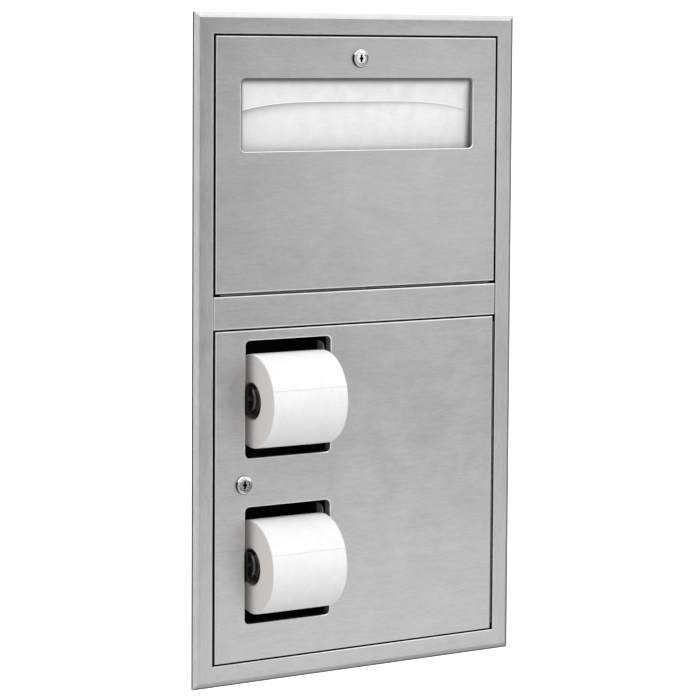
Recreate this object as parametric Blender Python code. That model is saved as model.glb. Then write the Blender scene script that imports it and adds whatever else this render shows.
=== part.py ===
"""Recessed seat cover and toilet paper dispenser for a washroom wall.

A stainless cabinet lies in the wall and a bevelled flange covers the edge of the hole. The upper
door drops open on a piano hinge along its bottom edge and serves folded seat covers through a wide
window. The lower door swings on a piano hinge along its right edge, and two toilet rolls on black
spindles stand out through its two windows. Each door has a cam lock.

Axes: X to the right, Y into the wall, Z up. The origin is the centre of the cabinet's rear face.
Depths are counted from the front plane of flange and doors, into the wall.
"""

import math

import bmesh
import bpy
from mathutils import Vector

# Clearances between pieces, in metres like every length here
seat_clearance = 0.0003
pin_clearance = 0.0001

# Flange and its bevel
flange_width = 0.4366
flange_height = 0.7763
flange_face_width = 0.0244
flange_projection = 0.0056
flange_bevel_width = 0.0064
flange_sheet = 0.0009
flange_return_depth = 0.015
edge_bend_radius = 0.0022

# Cabinet box behind the flange
cabinet_depth = 0.1016
cabinet_sheet = 0.0009
back_lip_depth = 0.012
back_bend_radius = 0.0015
mounting_hole_radius = 0.0028
mounting_hole_depth = 0.045
mounting_hole_inset = 0.06

# Doors and the rail between them
door_gap = 0.003
door_sheet = 0.0012
door_return_depth = 0.011
rail_height = 0.0378
rail_sheet = 0.0012
rail_leg_depth = 0.02

# Window that serves the seat covers
seat_window_side_margin = 0.03215
seat_window_height = 0.0845
seat_window_drop = 0.0481
window_corner_radius = 0.0034
window_bend_radius = 0.0015
window_lip_depth = 0.006

# Toilet rolls, their spindles and their places
roll_length = 0.098
core_bore_radius = 0.021
core_wall = 0.0008
roll_window_clearance = 0.0015
roll_window_side_margin = 0.0394
roll_window_top_margin = 0.0115
roll_window_spacing = 0.057
roll_window_bottom_margin = 0.04225
roll_axis_depth = 0.006
roll_play = 0.003
roll_side_gap = 0.001
spindle_overhang = 0.0023
spindle_face_recess = 0.004
hub_step = 0.0029
hub_rim_radius = 0.0022
lug_radius = 0.0035
lug_length = 0.0031
lug_end_recess = 0.0005

# Arms that carry the spindles and the black housing behind them
arm_sheet = 0.0015
arm_window_clearance = 0.002
arm_window_margin = 0.0072
arm_corner_radius = 0.008
nose_half_height = 0.0185
nose_wall = 0.0024
nose_corner_radius = 0.002
arm_foot_width = 0.016
arm_bend_radius = 0.003
housing_sheet = 0.0012
housing_margin = 0.032
housing_top_margin = 0.0045
housing_bottom_margin = 0.0275
housing_bend_radius = 0.0025
housing_gap_behind_cam = 0.004

# Shelf under the seat covers
shelf_sheet = 0.0012
shelf_lip_depth = 0.012
shelf_bend_radius = 0.002

# Seat covers
pack_side_room = 0.0111
pack_head_room = 0.047
pack_back_room = 0.0155
pack_fold_radius = 0.012
pack_gap_behind_door = 0.0018
front_cover_sheet = 0.0008
front_cover_side_inset = 0.003
front_cover_bulge = 0.0045
front_cover_drop = 0.0255
front_cover_end_fall = 0.0198
front_cover_foot_gap = 0.0035

# Piano hinges
hinge_leaf_sheet = 0.00045
hinge_leaf_width = 0.0068
hinge_knuckle_pitch = 0.0253
hinge_knuckle_gap = 0.0004
hinge_end_inset = 0.006
hinge_leaf_setback = 0.0015

# Cam locks and the strikes that they turn behind
upper_lock_inset = 0.0251
lower_lock_inset = 0.0376
lower_lock_drop = 0.0018
bezel_radius = 0.011
bezel_height = 0.003
bezel_edge_radius = 0.0012
bezel_dish_depth = 0.0006
barrel_radius = 0.0092
plug_radius = 0.0062
keyway_height = 0.0092
keyway_width = 0.0015
keyway_ward_width = 0.0036
keyway_ward_height = 0.0016
keyway_depth = 0.006
nut_across_flats = 0.0235
nut_height = 0.0035
cam_reach = 0.0235
cam_half_width = 0.0078
cam_sheet = 0.002
cam_clearance = 0.0006
tang_half_side = 0.003
tang_length_past_cam = 0.0002
cam_screw_head_radius = 0.0055
cam_screw_head_height = 0.0022
cam_screw_slot_width = 0.0012
cam_screw_slot_depth = 0.001
strike_sheet = 0.0015
strike_bend_radius = 0.0025
strike_overlap = 0.0115
strike_width = 0.03
strike_foot_depth = 0.018

# Shares of the opening's height and of the largest roll that fits a window
upper_door_share = 0.4043
roll_share = 0.825

# Counts of facets, and shares of the shapes that they follow
bend_steps = 3
corner_steps = 4
lock_sides = 24
roll_sides = 48
spindle_sides = 28
pin_sides = 12
knuckle_steps = 8
knuckle_wrap_share = 0.8
cover_columns = 24
cover_rows = 8
arch_power = 4
cover_swell_share = 0.825


class Materials:
    """Principled materials in the object's own colours."""

    def __init__(self):
        self.made = {}

    def get(self, name, colour, metallic, roughness):
        """One shared material for each name."""
        if name not in self.made:
            material = bpy.data.materials.new(name)
            material.use_nodes = True
            shader = material.node_tree.nodes["Principled BSDF"]
            shader.inputs["Base Color"].default_value = (*colour, 1.0)
            shader.inputs["Metallic"].default_value = metallic
            shader.inputs["Roughness"].default_value = roughness
            self.made[name] = material
        return self.made[name]


materials = Materials()


def stainless():
    return materials.get("satin_stainless", (0.62, 0.62, 0.61), 1.0, 0.32)


def plain_steel():
    return materials.get("plain_steel", (0.5, 0.5, 0.5), 1.0, 0.4)


def chrome():
    return materials.get("chrome", (0.8, 0.8, 0.8), 1.0, 0.08)


def black_paint():
    return materials.get("black_paint", (0.015, 0.015, 0.016), 0.0, 0.5)


def black_plastic():
    return materials.get("black_plastic", (0.01, 0.01, 0.01), 0.0, 0.25)


def white_paper():
    return materials.get("white_paper", (0.9, 0.9, 0.89), 0.0, 0.8)


def grey_board():
    return materials.get("grey_board", (0.42, 0.36, 0.29), 0.0, 0.85)


# Places worked out from the sizes above
front_y = -(cabinet_depth + flange_projection)
opening_half_width = flange_width / 2 - flange_face_width
opening_half_height = flange_height / 2 - flange_face_width
wall_inner_half_width = opening_half_width + flange_sheet + seat_clearance
wall_inner_half_height = opening_half_height + flange_sheet + seat_clearance
door_half_width = opening_half_width - door_gap
upper_door_top = opening_half_height - door_gap
upper_door_bottom = upper_door_top - 2 * opening_half_height * upper_door_share
rail_top = upper_door_bottom - door_gap
rail_bottom = rail_top - rail_height
lower_door_top = rail_bottom - door_gap
lower_door_bottom = -(opening_half_height - door_gap)

# Hinge section inside the door gap
knuckle_radius = door_gap / 2 - seat_clearance
knuckle_bore = knuckle_radius - hinge_leaf_sheet
hinge_pin_radius = knuckle_bore - pin_clearance
hinge_axis_depth = edge_bend_radius
upper_hinge_z = upper_door_bottom - door_gap / 2
lower_hinge_x = door_half_width + door_gap / 2

# Windows of the lower door, and the rolls that they let through
roll_windows_height = lower_door_top - lower_door_bottom - roll_window_top_margin - roll_window_bottom_margin
roll_window_half_height = (roll_windows_height - roll_window_spacing) / 4
roll_radius = (roll_window_half_height - roll_window_clearance) * roll_share
upper_spindle_z = lower_door_top - roll_window_top_margin - roll_window_half_height
lower_spindle_z = lower_door_bottom + roll_window_bottom_margin + roll_window_half_height

# Spindles, arms and the width of their windows
spindle_radius = core_bore_radius - roll_play - seat_clearance
hub_radius = spindle_radius - hub_step
spindle_half = (roll_length + spindle_overhang) / 2
arm_inner_half = spindle_half + lug_length
roll_window_half_width = arm_inner_half + arm_sheet + arm_window_clearance
arm_half_height = roll_window_half_height - arm_window_margin
roll_x = -door_half_width + roll_window_side_margin + roll_window_half_width
roll_shift = arm_inner_half - roll_side_gap - roll_length / 2
slot_half_width = lug_radius + seat_clearance
nose_end_depth = roll_axis_depth - slot_half_width - nose_wall
shoulder_depth = roll_axis_depth + slot_half_width + nose_wall

# Depths behind a door
strike_front_depth = door_return_depth + cam_clearance
cam_front_depth = strike_front_depth + strike_sheet + cam_clearance
barrel_end_depth = cam_front_depth - seat_clearance
cam_back_depth = cam_front_depth + cam_sheet
housing_front_depth = cam_back_depth + seat_clearance + cam_screw_head_height + housing_gap_behind_cam
inside_back_depth = cabinet_depth + flange_projection - cabinet_sheet

# Lock places
upper_lock_place = (0.0, upper_door_top - upper_lock_inset)
lower_lock_place = (
    -door_half_width + lower_lock_inset,
    (upper_spindle_z + lower_spindle_z) / 2 - lower_lock_drop,
)


def facing_front(x, z, depth):
    """Plane of flange and doors, depth into the wall."""
    return (x, front_y + depth, z)


def facing_back(x, z, depth):
    """Rear plane, depth towards the room."""
    return (x, -depth, z)


def rectangle(low_u, high_u, low_v, high_v):
    """Corner loop that shrinks by an inset."""

    def loop(inset):
        return [
            (low_u + inset, low_v + inset),
            (high_u - inset, low_v + inset),
            (high_u - inset, high_v - inset),
            (low_u + inset, high_v - inset),
        ]

    return loop


def rounded_hole(centre, half_width, half_height, corner_radius):
    """Rounded rectangle that grows by an inset, so that the inset lies in the sheet."""

    def loop(inset):
        radius = corner_radius + inset
        points = []
        for turn, (side, rise) in enumerate(((1, 1), (-1, 1), (-1, -1), (1, -1))):
            middle_u = centre[0] + side * (half_width - corner_radius)
            middle_v = centre[1] + rise * (half_height - corner_radius)
            for step in range(corner_steps + 1):
                angle = math.pi / 2 * (turn + step / corner_steps)
                points.append((middle_u + radius * math.cos(angle), middle_v + radius * math.sin(angle)))
        return points

    return loop


def round_hole(centre, radius, sides):
    """Circle that grows by an inset."""

    def loop(inset):
        turns = [2 * math.pi * step / sides for step in range(sides)]
        reach = radius + inset
        return [(centre[0] + reach * math.cos(a), centre[1] + reach * math.sin(a)) for a in turns]

    return loop


def bent_edge(bend_radius, sheet, lip_depth):
    """Insets and depths round a turned edge, from the front skin to the inner skin."""
    angles = [math.pi / 2 * step / bend_steps for step in range(bend_steps + 1)]
    inner = bend_radius - sheet
    outside = [(bend_radius * (1 - math.sin(a)), bend_radius * (1 - math.cos(a))) for a in angles]
    inside = [(bend_radius - inner * math.sin(a), bend_radius - inner * math.cos(a)) for a in angles]
    return outside + [(0.0, lip_depth), (sheet, lip_depth)] + inside[::-1]


def plain_edge(near, far):
    """A square cut through a sheet."""
    return [(0.0, near), (0.0, far)]


def bevelled_edge():
    """The flange's outer edge, from the face down its slope to the wall and back inside."""
    slope = math.hypot(flange_bevel_width, flange_projection)
    inner_foot = flange_sheet * slope / flange_projection
    inner_crease = flange_bevel_width + flange_sheet * (slope - flange_bevel_width) / flange_projection
    return [
        (flange_bevel_width, 0.0),
        (0.0, flange_projection),
        (inner_foot, flange_projection),
        (inner_crease, flange_sheet),
    ]


def edge_rings(loop, profile):
    """Rings of (u, v, depth) for one edge of a sheet."""
    return [[(u, v, depth) for u, v in loop(inset)] for inset, depth in profile]


def add_ring(bm, points, plane):
    return [bm.verts.new(plane(*point)) for point in points]


def bridge(bm, first, second):
    """Quads between two rings of as many points."""
    count = len(first)
    for i in range(count):
        j = (i + 1) % count
        bm.faces.new((first[i], first[j], second[j], second[i]))


def fill(bm, rings):
    """Flat fill between an outline and its holes."""
    edges = []
    for ring in rings:
        edges += [bm.edges.get((ring[i - 1], ring[i])) for i in range(len(ring))]
    first = rings[0]
    normal = (first[1].co - first[0].co).cross(first[2].co - first[1].co)
    bmesh.ops.triangle_fill(bm, edges=edges, use_beauty=True, use_dissolve=False, normal=normal)


def add_wall(bm, rings, plane):
    """Rings joined one to the next; returns the first and the last."""
    made = [add_ring(bm, ring, plane) for ring in rings]
    for i in range(1, len(made)):
        bridge(bm, made[i - 1], made[i])
    return made[0], made[-1]


def sheet_solid(edges, plane, front_pockets=(), back_pockets=()):
    """A sheet whose edges each run from its front skin to its back skin; a pocket ends in a floor."""
    bm = bmesh.new()
    walls = [add_wall(bm, rings, plane) for rings in edges]
    fronts = [wall[0] for wall in walls]
    backs = [wall[1] for wall in walls]
    for pockets, skin in ((front_pockets, fronts), (back_pockets, backs)):
        for rings in pockets:
            mouth, floor = add_wall(bm, rings, plane)
            skin.append(mouth)
            fill(bm, [floor])
    fill(bm, fronts)
    fill(bm, backs)
    return bm


def prism(outline, near, far, plane, holes=()):
    """A flat plate with holes cut square through it."""
    rings = [[[(u, v, depth) for u, v in points] for depth in (near, far)] for points in (outline, *holes)]
    return sheet_solid(rings, plane)


def turned(stations, sides, plane, ring_shaped=False):
    """A turned piece from (radius, along) stations; a ring-shaped section closes on itself."""
    bm = bmesh.new()
    turns = [2 * math.pi * (step + 1 / 2) / sides for step in range(sides)]
    rings = []
    for radius, along in stations:
        rings.append([bm.verts.new(plane(radius * math.cos(a), radius * math.sin(a), along)) for a in turns])
    for i in range(1, len(rings)):
        bridge(bm, rings[i - 1], rings[i])
    if ring_shaped:
        bridge(bm, rings[-1], rings[0])
    else:
        bm.faces.new(rings[0])
        bm.faces.new(rings[-1])
    return bm


def quarter_round(centre, radius, start, steps):
    """Stations round a corner, from an angle in quarter turns."""
    angles = [math.pi / 2 * (start + step / steps) for step in range(steps + 1)]
    return [(centre[0] + radius * math.cos(a), centre[1] + radius * math.sin(a)) for a in angles]


def empty(name, place, parent=None):
    """An empty on a joint's axis; its pieces and the bodies that it carries hang from it."""
    holder = bpy.data.objects.new(name, None)
    holder.empty_display_size = bezel_radius
    bpy.context.scene.collection.objects.link(holder)
    holder["axis_point"] = list(place)
    holder.location = place
    if parent is not None:
        holder.parent = parent
        holder.location = Vector(place) - Vector(parent["axis_point"])
    return holder


def finish(name, bm, material, holder=None, smooth_angle=35):
    """A named object from world coordinates, with its origin on its joint's axis where it moves."""
    if holder is not None:
        bmesh.ops.translate(bm, verts=bm.verts, vec=-Vector(holder["axis_point"]))
    bmesh.ops.recalc_face_normals(bm, faces=bm.faces)
    mesh = bpy.data.meshes.new(name)
    bm.to_mesh(mesh)
    bm.free()
    mesh.shade_smooth()
    mesh.set_sharp_from_angle(angle=math.radians(smooth_angle))
    mesh.materials.append(material)
    thing = bpy.data.objects.new(name, mesh)
    bpy.context.scene.collection.objects.link(thing)
    if holder is not None:
        thing.parent = holder
    return thing


def build_flange_frame():
    """Bevelled flange with mitred corners, turned back into the cabinet all round the opening."""
    outer = rectangle(-flange_width / 2, flange_width / 2, -flange_height / 2, flange_height / 2)
    opening = rectangle(-opening_half_width, opening_half_width, -opening_half_height, opening_half_height)
    turned_in = bent_edge(edge_bend_radius, flange_sheet, flange_return_depth)
    rings = [edge_rings(outer, bevelled_edge()), edge_rings(growing(opening), turned_in)]
    finish("flange_frame", sheet_solid(rings, facing_front), stainless())


def growing(loop):
    """The same loop with its inset turned outwards, for an opening in a sheet."""
    return lambda inset: loop(-inset)


def build_cabinet():
    """Back tray and four walls that lap the flange's turned-in edge."""
    back = rectangle(
        -wall_inner_half_width + seat_clearance,
        wall_inner_half_width - seat_clearance,
        -wall_inner_half_height + seat_clearance,
        wall_inner_half_height - seat_clearance,
    )
    lips = bent_edge(back_bend_radius, cabinet_sheet, back_lip_depth)
    finish("cabinet_back", sheet_solid([edge_rings(back, lips)], facing_back), stainless())
    wall_front = front_y + edge_bend_radius + seat_clearance
    for name, side in (("cabinet_left_wall", -1), ("cabinet_right_wall", 1)):
        build_side_wall(name, side, wall_front)
    for name, side in (("cabinet_top_wall", 1), ("cabinet_bottom_wall", -1)):
        near = side * wall_inner_half_height
        far = side * (wall_inner_half_height + cabinet_sheet)
        half = wall_inner_half_width - seat_clearance
        outline = rectangle(-half, half, wall_front, 0.0)(0.0)
        finish(name, prism(outline, near, far, lambda x, y, z: (x, y, z)), stainless())


def build_side_wall(name, side, wall_front):
    """One side wall with the four holes for its mounting screws."""
    half = wall_inner_half_height + cabinet_sheet
    outline = rectangle(wall_front, 0.0, -half, half)(0.0)
    holes = []
    for y in (front_y + mounting_hole_depth, -mounting_hole_depth / 2):
        for z in (half - mounting_hole_inset, mounting_hole_inset - half):
            holes.append(round_hole((y, z), mounting_hole_radius, corner_steps * 4)(0.0))
    near = side * wall_inner_half_width
    far = side * (wall_inner_half_width + cabinet_sheet)
    finish(name, prism(outline, near, far, lambda y, z, x: (x, y, z), holes), stainless())


def build_rail_and_shelf():
    """Channel between the doors, and the shelf behind it that the seat covers stand on."""
    half = opening_half_width - seat_clearance
    rail = rectangle(-half, half, rail_bottom, rail_top)
    legs = bent_edge(edge_bend_radius, rail_sheet, rail_leg_depth)
    finish("centre_rail", sheet_solid([edge_rings(rail, legs)], facing_front), stainless())
    half = wall_inner_half_width - seat_clearance - cabinet_sheet - seat_clearance
    shelf_front = front_y + rail_leg_depth + seat_clearance
    shelf = rectangle(-half, half, shelf_front, -cabinet_sheet - seat_clearance)
    lips = bent_edge(shelf_bend_radius, shelf_sheet, shelf_lip_depth)
    bm = sheet_solid([edge_rings(shelf, lips)], lambda x, y, drop: (x, y, rail_top - drop))
    finish("compartment_shelf", bm, stainless())


def build_strikes():
    """Two angles that the lock cams turn behind."""
    for name, inset in (("upper_strike", upper_lock_inset), ("lower_strike", lower_lock_inset)):
        tip = door_gap + inset - cam_reach + strike_overlap
        near = -strike_width / 2
        far = strike_width / 2
        plane = upper_strike_plane if name == "upper_strike" else lower_strike_plane
        finish(name, prism(strike_outline(tip), near, far, plane), plain_steel())


def upper_strike_plane(reach, depth, along):
    return (upper_lock_place[0] + along, front_y + depth, opening_half_height - reach)


def lower_strike_plane(reach, depth, along):
    return (reach - opening_half_width, front_y + depth, lower_lock_place[1] + along)


def strike_outline(tip):
    """Angle section: a lip behind the door's turned edge and a foot along the flange's."""
    centre = (seat_clearance + strike_bend_radius, strike_front_depth + strike_bend_radius)
    outer = quarter_round(centre, strike_bend_radius, 2, bend_steps)
    inner = quarter_round(centre, strike_bend_radius - strike_sheet, 2, bend_steps)
    foot_end = strike_front_depth + strike_foot_depth
    foot = [(seat_clearance, foot_end), (seat_clearance + strike_sheet, foot_end)]
    lip = [(tip, strike_front_depth + strike_sheet), (tip, strike_front_depth)]
    return foot + inner + lip + outer[::-1]


def hinge_spans(start, end, phase):
    """Stretches of one leaf that carry its knuckles, every other one along the hinge."""
    count = 2 * round((end - start) / hinge_knuckle_pitch / 2) + 1
    pitch = (end - start) / count
    spans = []
    for index in range(phase, count, 2):
        low = start + index * pitch + hinge_knuckle_gap / 2 * (index > 0)
        high = start + (index + 1) * pitch - hinge_knuckle_gap / 2 * (index < count - 1)
        spans.append((low, high))
    return spans


def hinge_section():
    """Leaf strip and curled knuckle in (across, deep) from the pin's axis."""
    low = hinge_leaf_setback
    high = hinge_leaf_width + hinge_leaf_setback
    strip = [(knuckle_bore, low), (knuckle_radius, low), (knuckle_radius, high), (knuckle_bore, high)]
    turns = [2 * math.pi * knuckle_wrap_share * step / knuckle_steps for step in range(knuckle_steps + 1)]
    outer = [(knuckle_radius * math.cos(a), -knuckle_radius * math.sin(a)) for a in turns]
    inner = [(knuckle_bore * math.cos(a), -knuckle_bore * math.sin(a)) for a in turns]
    return strip, outer, inner


def build_hinge_leaf(name, start, end, phase, plane, holder=None):
    """A strip with curled knuckles; the strip runs on between them."""
    strip, outer, inner = hinge_section()
    spans = hinge_spans(start, end, phase)
    stations = sorted({start, end}.union(*spans))
    bm = bmesh.new()
    strips = [add_ring(bm, [(*point, along) for point in strip], plane) for along in stations]
    curled = []
    for low, high in zip(stations, stations[1:]):
        curled.append(any(span[0] <= (low + high) / 2 <= span[1] for span in spans))
    curls = []
    for index, along in enumerate(stations):
        if any(curled[max(index - 1, 0) : index + 1]):
            sides = [[(*point, along) for point in side] for side in (outer, inner)]
            curls.append([add_ring(bm, side, plane) for side in sides])
        else:
            curls.append(None)
    for index, has_curl in enumerate(curled):
        join_hinge_stretch(bm, strips[index : index + 2], curls[index : index + 2], has_curl)
    for index in range(len(stations)):
        before = index > 0 and curled[index - 1]
        after = index < len(curled) and curled[index]
        if before != after:
            cap_curl(bm, strips[index], curls[index])
    bm.faces.new(strips[0])
    bm.faces.new(strips[-1])
    return finish(name, bm, plain_steel(), holder)


def join_hinge_stretch(bm, strips, curls, has_curl):
    """Side faces of one stretch of a leaf."""
    near, far = strips
    for i in (1, 2, 3):
        j = (i + 1) % 4
        bm.faces.new((near[i], near[j], far[j], far[i]))
    if not has_curl:
        bm.faces.new((near[0], near[1], far[1], far[0]))
        return
    near_path = [near[1], *curls[0][0], *reversed(curls[0][1]), near[0]]
    far_path = [far[1], *curls[1][0], *reversed(curls[1][1]), far[0]]
    for i in range(len(near_path) - 1):
        bm.faces.new((near_path[i], near_path[i + 1], far_path[i + 1], far_path[i]))


def cap_curl(bm, strip, curl):
    """End face of a knuckle, in quads between its outside and its bore."""
    outer = [strip[1], *curl[0]]
    inner = [strip[0], *curl[1]]
    for i in range(len(outer) - 1):
        bm.faces.new((outer[i], outer[i + 1], inner[i + 1], inner[i]))


def build_hinges(upper_holder, lower_holder):
    """Two piano hinges, each of a fixed leaf, a moving leaf and a pin."""
    axis_y = front_y + hinge_axis_depth
    low_x = hinge_end_inset - door_half_width
    high_x = -low_x
    low_z = lower_door_bottom + hinge_end_inset
    high_z = lower_door_top - hinge_end_inset

    def upper_plane(side):
        return lambda across, deep, along: (along, axis_y + deep, upper_hinge_z + side * across)

    def lower_plane(side):
        return lambda across, deep, along: (lower_hinge_x + side * across, axis_y + deep, along)

    build_hinge_leaf("upper_hinge_fixed_leaf", low_x, high_x, 0, upper_plane(-1))
    build_hinge_leaf("upper_hinge_moving_leaf", low_x, high_x, 1, upper_plane(1), upper_holder)
    build_hinge_leaf("lower_hinge_fixed_leaf", low_z, high_z, 0, lower_plane(1))
    build_hinge_leaf("lower_hinge_moving_leaf", low_z, high_z, 1, lower_plane(-1), lower_holder)
    ends = ((hinge_pin_radius, low_x), (hinge_pin_radius, high_x))
    finish("upper_hinge_pin", turned(ends, pin_sides, upper_plane(1)), plain_steel())
    ends = ((hinge_pin_radius, low_z), (hinge_pin_radius, high_z))
    finish("lower_hinge_pin", turned(ends, pin_sides, lower_plane(1)), plain_steel())


def lock_hole(place):
    """Round hole for a lock barrel, square through the door sheet."""
    hole = round_hole(place, barrel_radius + seat_clearance, lock_sides)
    return edge_rings(hole, plain_edge(0.0, door_sheet))


def build_upper_door(holder):
    """Tray-shaped door with the wide window for the seat covers."""
    outline = rectangle(-door_half_width, door_half_width, upper_door_bottom, upper_door_top)
    edges = [edge_rings(outline, bent_edge(edge_bend_radius, door_sheet, door_return_depth))]
    middle = (0.0, upper_door_top - seat_window_drop - seat_window_height / 2)
    half_width = door_half_width - seat_window_side_margin
    window = rounded_hole(middle, half_width, seat_window_height / 2, window_corner_radius)
    edges.append(edge_rings(window, bent_edge(window_bend_radius, door_sheet, window_lip_depth)))
    edges.append(lock_hole(upper_lock_place))
    finish("upper_door_panel", sheet_solid(edges, facing_front), stainless(), holder)


def build_lower_door(holder):
    """Tray-shaped door with a window for each toilet roll."""
    outline = rectangle(-door_half_width, door_half_width, lower_door_bottom, lower_door_top)
    edges = [edge_rings(outline, bent_edge(edge_bend_radius, door_sheet, door_return_depth))]
    turned_in = bent_edge(window_bend_radius, door_sheet, window_lip_depth)
    for z in (upper_spindle_z, lower_spindle_z):
        sizes = (roll_window_half_width, roll_window_half_height, window_corner_radius)
        edges.append(edge_rings(rounded_hole((roll_x, z), *sizes), turned_in))
    edges.append(lock_hole(lower_lock_place))
    finish("lower_door_panel", sheet_solid(edges, facing_front), stainless(), holder)


def build_lock(prefix, place, cam_turn, door_holder, lock_holder):
    """One cam lock: body and nut stay on the door; plug, cam and screw turn."""

    def plane(u, v, depth):
        return facing_front(place[0] + u, place[1] + v, depth)

    bm = turned(lock_body_stations(), lock_sides, plane, True)
    finish(prefix + "_lock_body", bm, chrome(), door_holder)
    hexagon = round_hole((0.0, 0.0), nut_across_flats / math.sqrt(3), 6)(0.0)
    bore = round_hole((0.0, 0.0), barrel_radius + seat_clearance, lock_sides)(0.0)
    nut_front = door_sheet + seat_clearance
    bm = prism(hexagon, nut_front, nut_front + nut_height, plane, [bore])
    finish(prefix + "_lock_nut", bm, plain_steel(), door_holder)
    finish(prefix + "_lock_plug", lock_plug(plane), chrome(), lock_holder)

    def cam_plane(u, v, depth):
        cosine = math.cos(cam_turn)
        sine = math.sin(cam_turn)
        return plane(u * cosine - v * sine, u * sine + v * cosine, depth)

    hole = square_loop(tang_half_side + seat_clearance)
    bm = prism(cam_outline(), cam_front_depth, cam_back_depth, cam_plane, [hole])
    finish(prefix + "_lock_cam", bm, plain_steel(), lock_holder)
    finish(prefix + "_lock_screw", lock_screw(plane), plain_steel(), lock_holder)


def lock_body_stations():
    """Bezel with a rounded rim and a dished face, and the barrel behind it."""
    bore = plug_radius + pin_clearance
    middle = (bezel_radius - bezel_edge_radius, bezel_edge_radius - bezel_height)
    rim = quarter_round(middle, bezel_edge_radius, 3, bend_steps)
    back = [(bezel_radius, -seat_clearance), (barrel_radius, -seat_clearance)]
    barrel = [(barrel_radius, barrel_end_depth), (bore, barrel_end_depth)]
    return [(bore, bezel_dish_depth - bezel_height)] + rim + back + barrel


def lock_plug(plane):
    """Turning plug with its keyway in front and the square tang for the cam behind."""
    front = bezel_dish_depth - bezel_height
    disc = round_hole((0.0, 0.0), plug_radius, lock_sides)(0.0)
    tang = square_loop(tang_half_side, lock_sides)
    end = cam_back_depth + tang_length_past_cam
    body = [[(u, v, depth) for u, v in disc] for depth in (front, barrel_end_depth)]
    body += [[(u, v, depth) for u, v in tang] for depth in (barrel_end_depth, end)]
    keyway = [[(u, v, depth) for u, v in keyway_outline()] for depth in (front, front + keyway_depth)]
    thread = round_hole((0.0, 0.0), screw_hole_radius(), corner_steps * 4)(0.0)
    bore = [[(u, v, depth) for u, v in thread] for depth in (end, end - screw_hole_depth())]
    return sheet_solid([body], plane, front_pockets=[keyway], back_pockets=[bore])


def screw_hole_radius():
    return tang_half_side / 2 + pin_clearance


def screw_hole_depth():
    return 2 * tang_half_side + seat_clearance


def keyway_outline():
    """Upright slot with a ward across its middle."""
    points = []
    for side, rise in ((1, 1), (-1, 1), (-1, -1), (1, -1)):
        corner = [
            (side * keyway_ward_width / 2, rise * keyway_ward_height / 2),
            (side * keyway_width / 2, rise * keyway_ward_height / 2),
            (side * keyway_width / 2, rise * keyway_height / 2),
        ]
        points += corner if side * rise > 0 else corner[::-1]
    return points


def square_loop(half_side, count=4):
    """Points round a square, corner first where the count is four."""
    points = []
    for step in range(count):
        angle = 2 * math.pi * (step / count) + (math.pi / 4 if count == 4 else 0.0)
        reach = half_side / max(abs(math.cos(angle)), abs(math.sin(angle)))
        points.append((reach * math.cos(angle), reach * math.sin(angle)))
    return points


def cam_outline():
    """Flat cam, round about the plug and at its tip."""
    tip = cam_reach - cam_half_width
    outline = quarter_round((0.0, 0.0), cam_half_width, 1, corner_steps * 2)
    outline += quarter_round((0.0, 0.0), cam_half_width, 2, corner_steps * 2)[1:]
    outline += quarter_round((tip, 0.0), cam_half_width, 3, corner_steps * 2)
    return outline + quarter_round((tip, 0.0), cam_half_width, 0, corner_steps * 2)[1:]


def lock_screw(plane):
    """Screw that holds the cam on the tang, with a slot in its head."""
    end = cam_back_depth + tang_length_past_cam
    head = end + seat_clearance
    shank = round_hole((0.0, 0.0), screw_hole_radius() - pin_clearance, corner_steps * 4)(0.0)
    disc = round_hole((0.0, 0.0), cam_screw_head_radius, corner_steps * 4)(0.0)
    top = head + cam_screw_head_height
    rings = [[(u, v, depth) for u, v in shank] for depth in (end - 2 * tang_half_side, head)]
    rings += [[(u, v, depth) for u, v in disc] for depth in (head, top)]
    half_slot = cam_screw_slot_width / 2
    slot = rectangle(-tang_half_side, tang_half_side, -half_slot, half_slot)(0.0)
    pocket = [[(u, v, depth) for u, v in slot] for depth in (top, top - cam_screw_slot_depth)]
    return sheet_solid([rings], plane, back_pockets=[pocket])


def build_housing():
    """Black tray behind the rolls, open towards the door."""
    back_depth = inside_back_depth - seat_clearance
    half = roll_window_half_width + housing_margin
    top = upper_spindle_z + roll_window_half_height + housing_top_margin
    bottom = lower_spindle_z - roll_window_half_height - housing_bottom_margin
    lips = bent_edge(housing_bend_radius, housing_sheet, back_depth - housing_front_depth)
    rings = edge_rings(rectangle(roll_x - half, roll_x + half, bottom, top), lips)
    bm = sheet_solid([rings], lambda x, z, rise: facing_front(x, z, back_depth - rise))
    finish("roll_housing", bm, black_paint())


def arm_outline():
    """Side view of an arm in (depth, height) from its spindle: tall plate, nose and open slot."""
    tall = arm_half_height - arm_corner_radius
    short = nose_half_height - nose_corner_radius
    tall_middle = shoulder_depth + arm_corner_radius
    short_middle = nose_end_depth + nose_corner_radius
    low = quarter_round((tall_middle, -tall), arm_corner_radius, 2, corner_steps)[::-1]
    nose = quarter_round((short_middle, -short), nose_corner_radius, 2, bend_steps)[::-1]
    nose += quarter_round((short_middle, short), nose_corner_radius, 1, bend_steps)[::-1]
    seat = quarter_round((roll_axis_depth, 0.0), slot_half_width, 2, corner_steps)
    seat += quarter_round((roll_axis_depth, 0.0), slot_half_width, 3, corner_steps)[1:]
    slot = [(roll_axis_depth - slot_half_width, nose_half_height), *seat]
    slot.append((roll_axis_depth + slot_half_width, nose_half_height))
    high = quarter_round((tall_middle, tall), arm_corner_radius, 1, corner_steps)[::-1]
    shoulders = [(shoulder_depth, -nose_half_height), (shoulder_depth, nose_half_height)]
    return low + shoulders[:1] + nose + slot + shoulders[1:] + high


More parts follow.
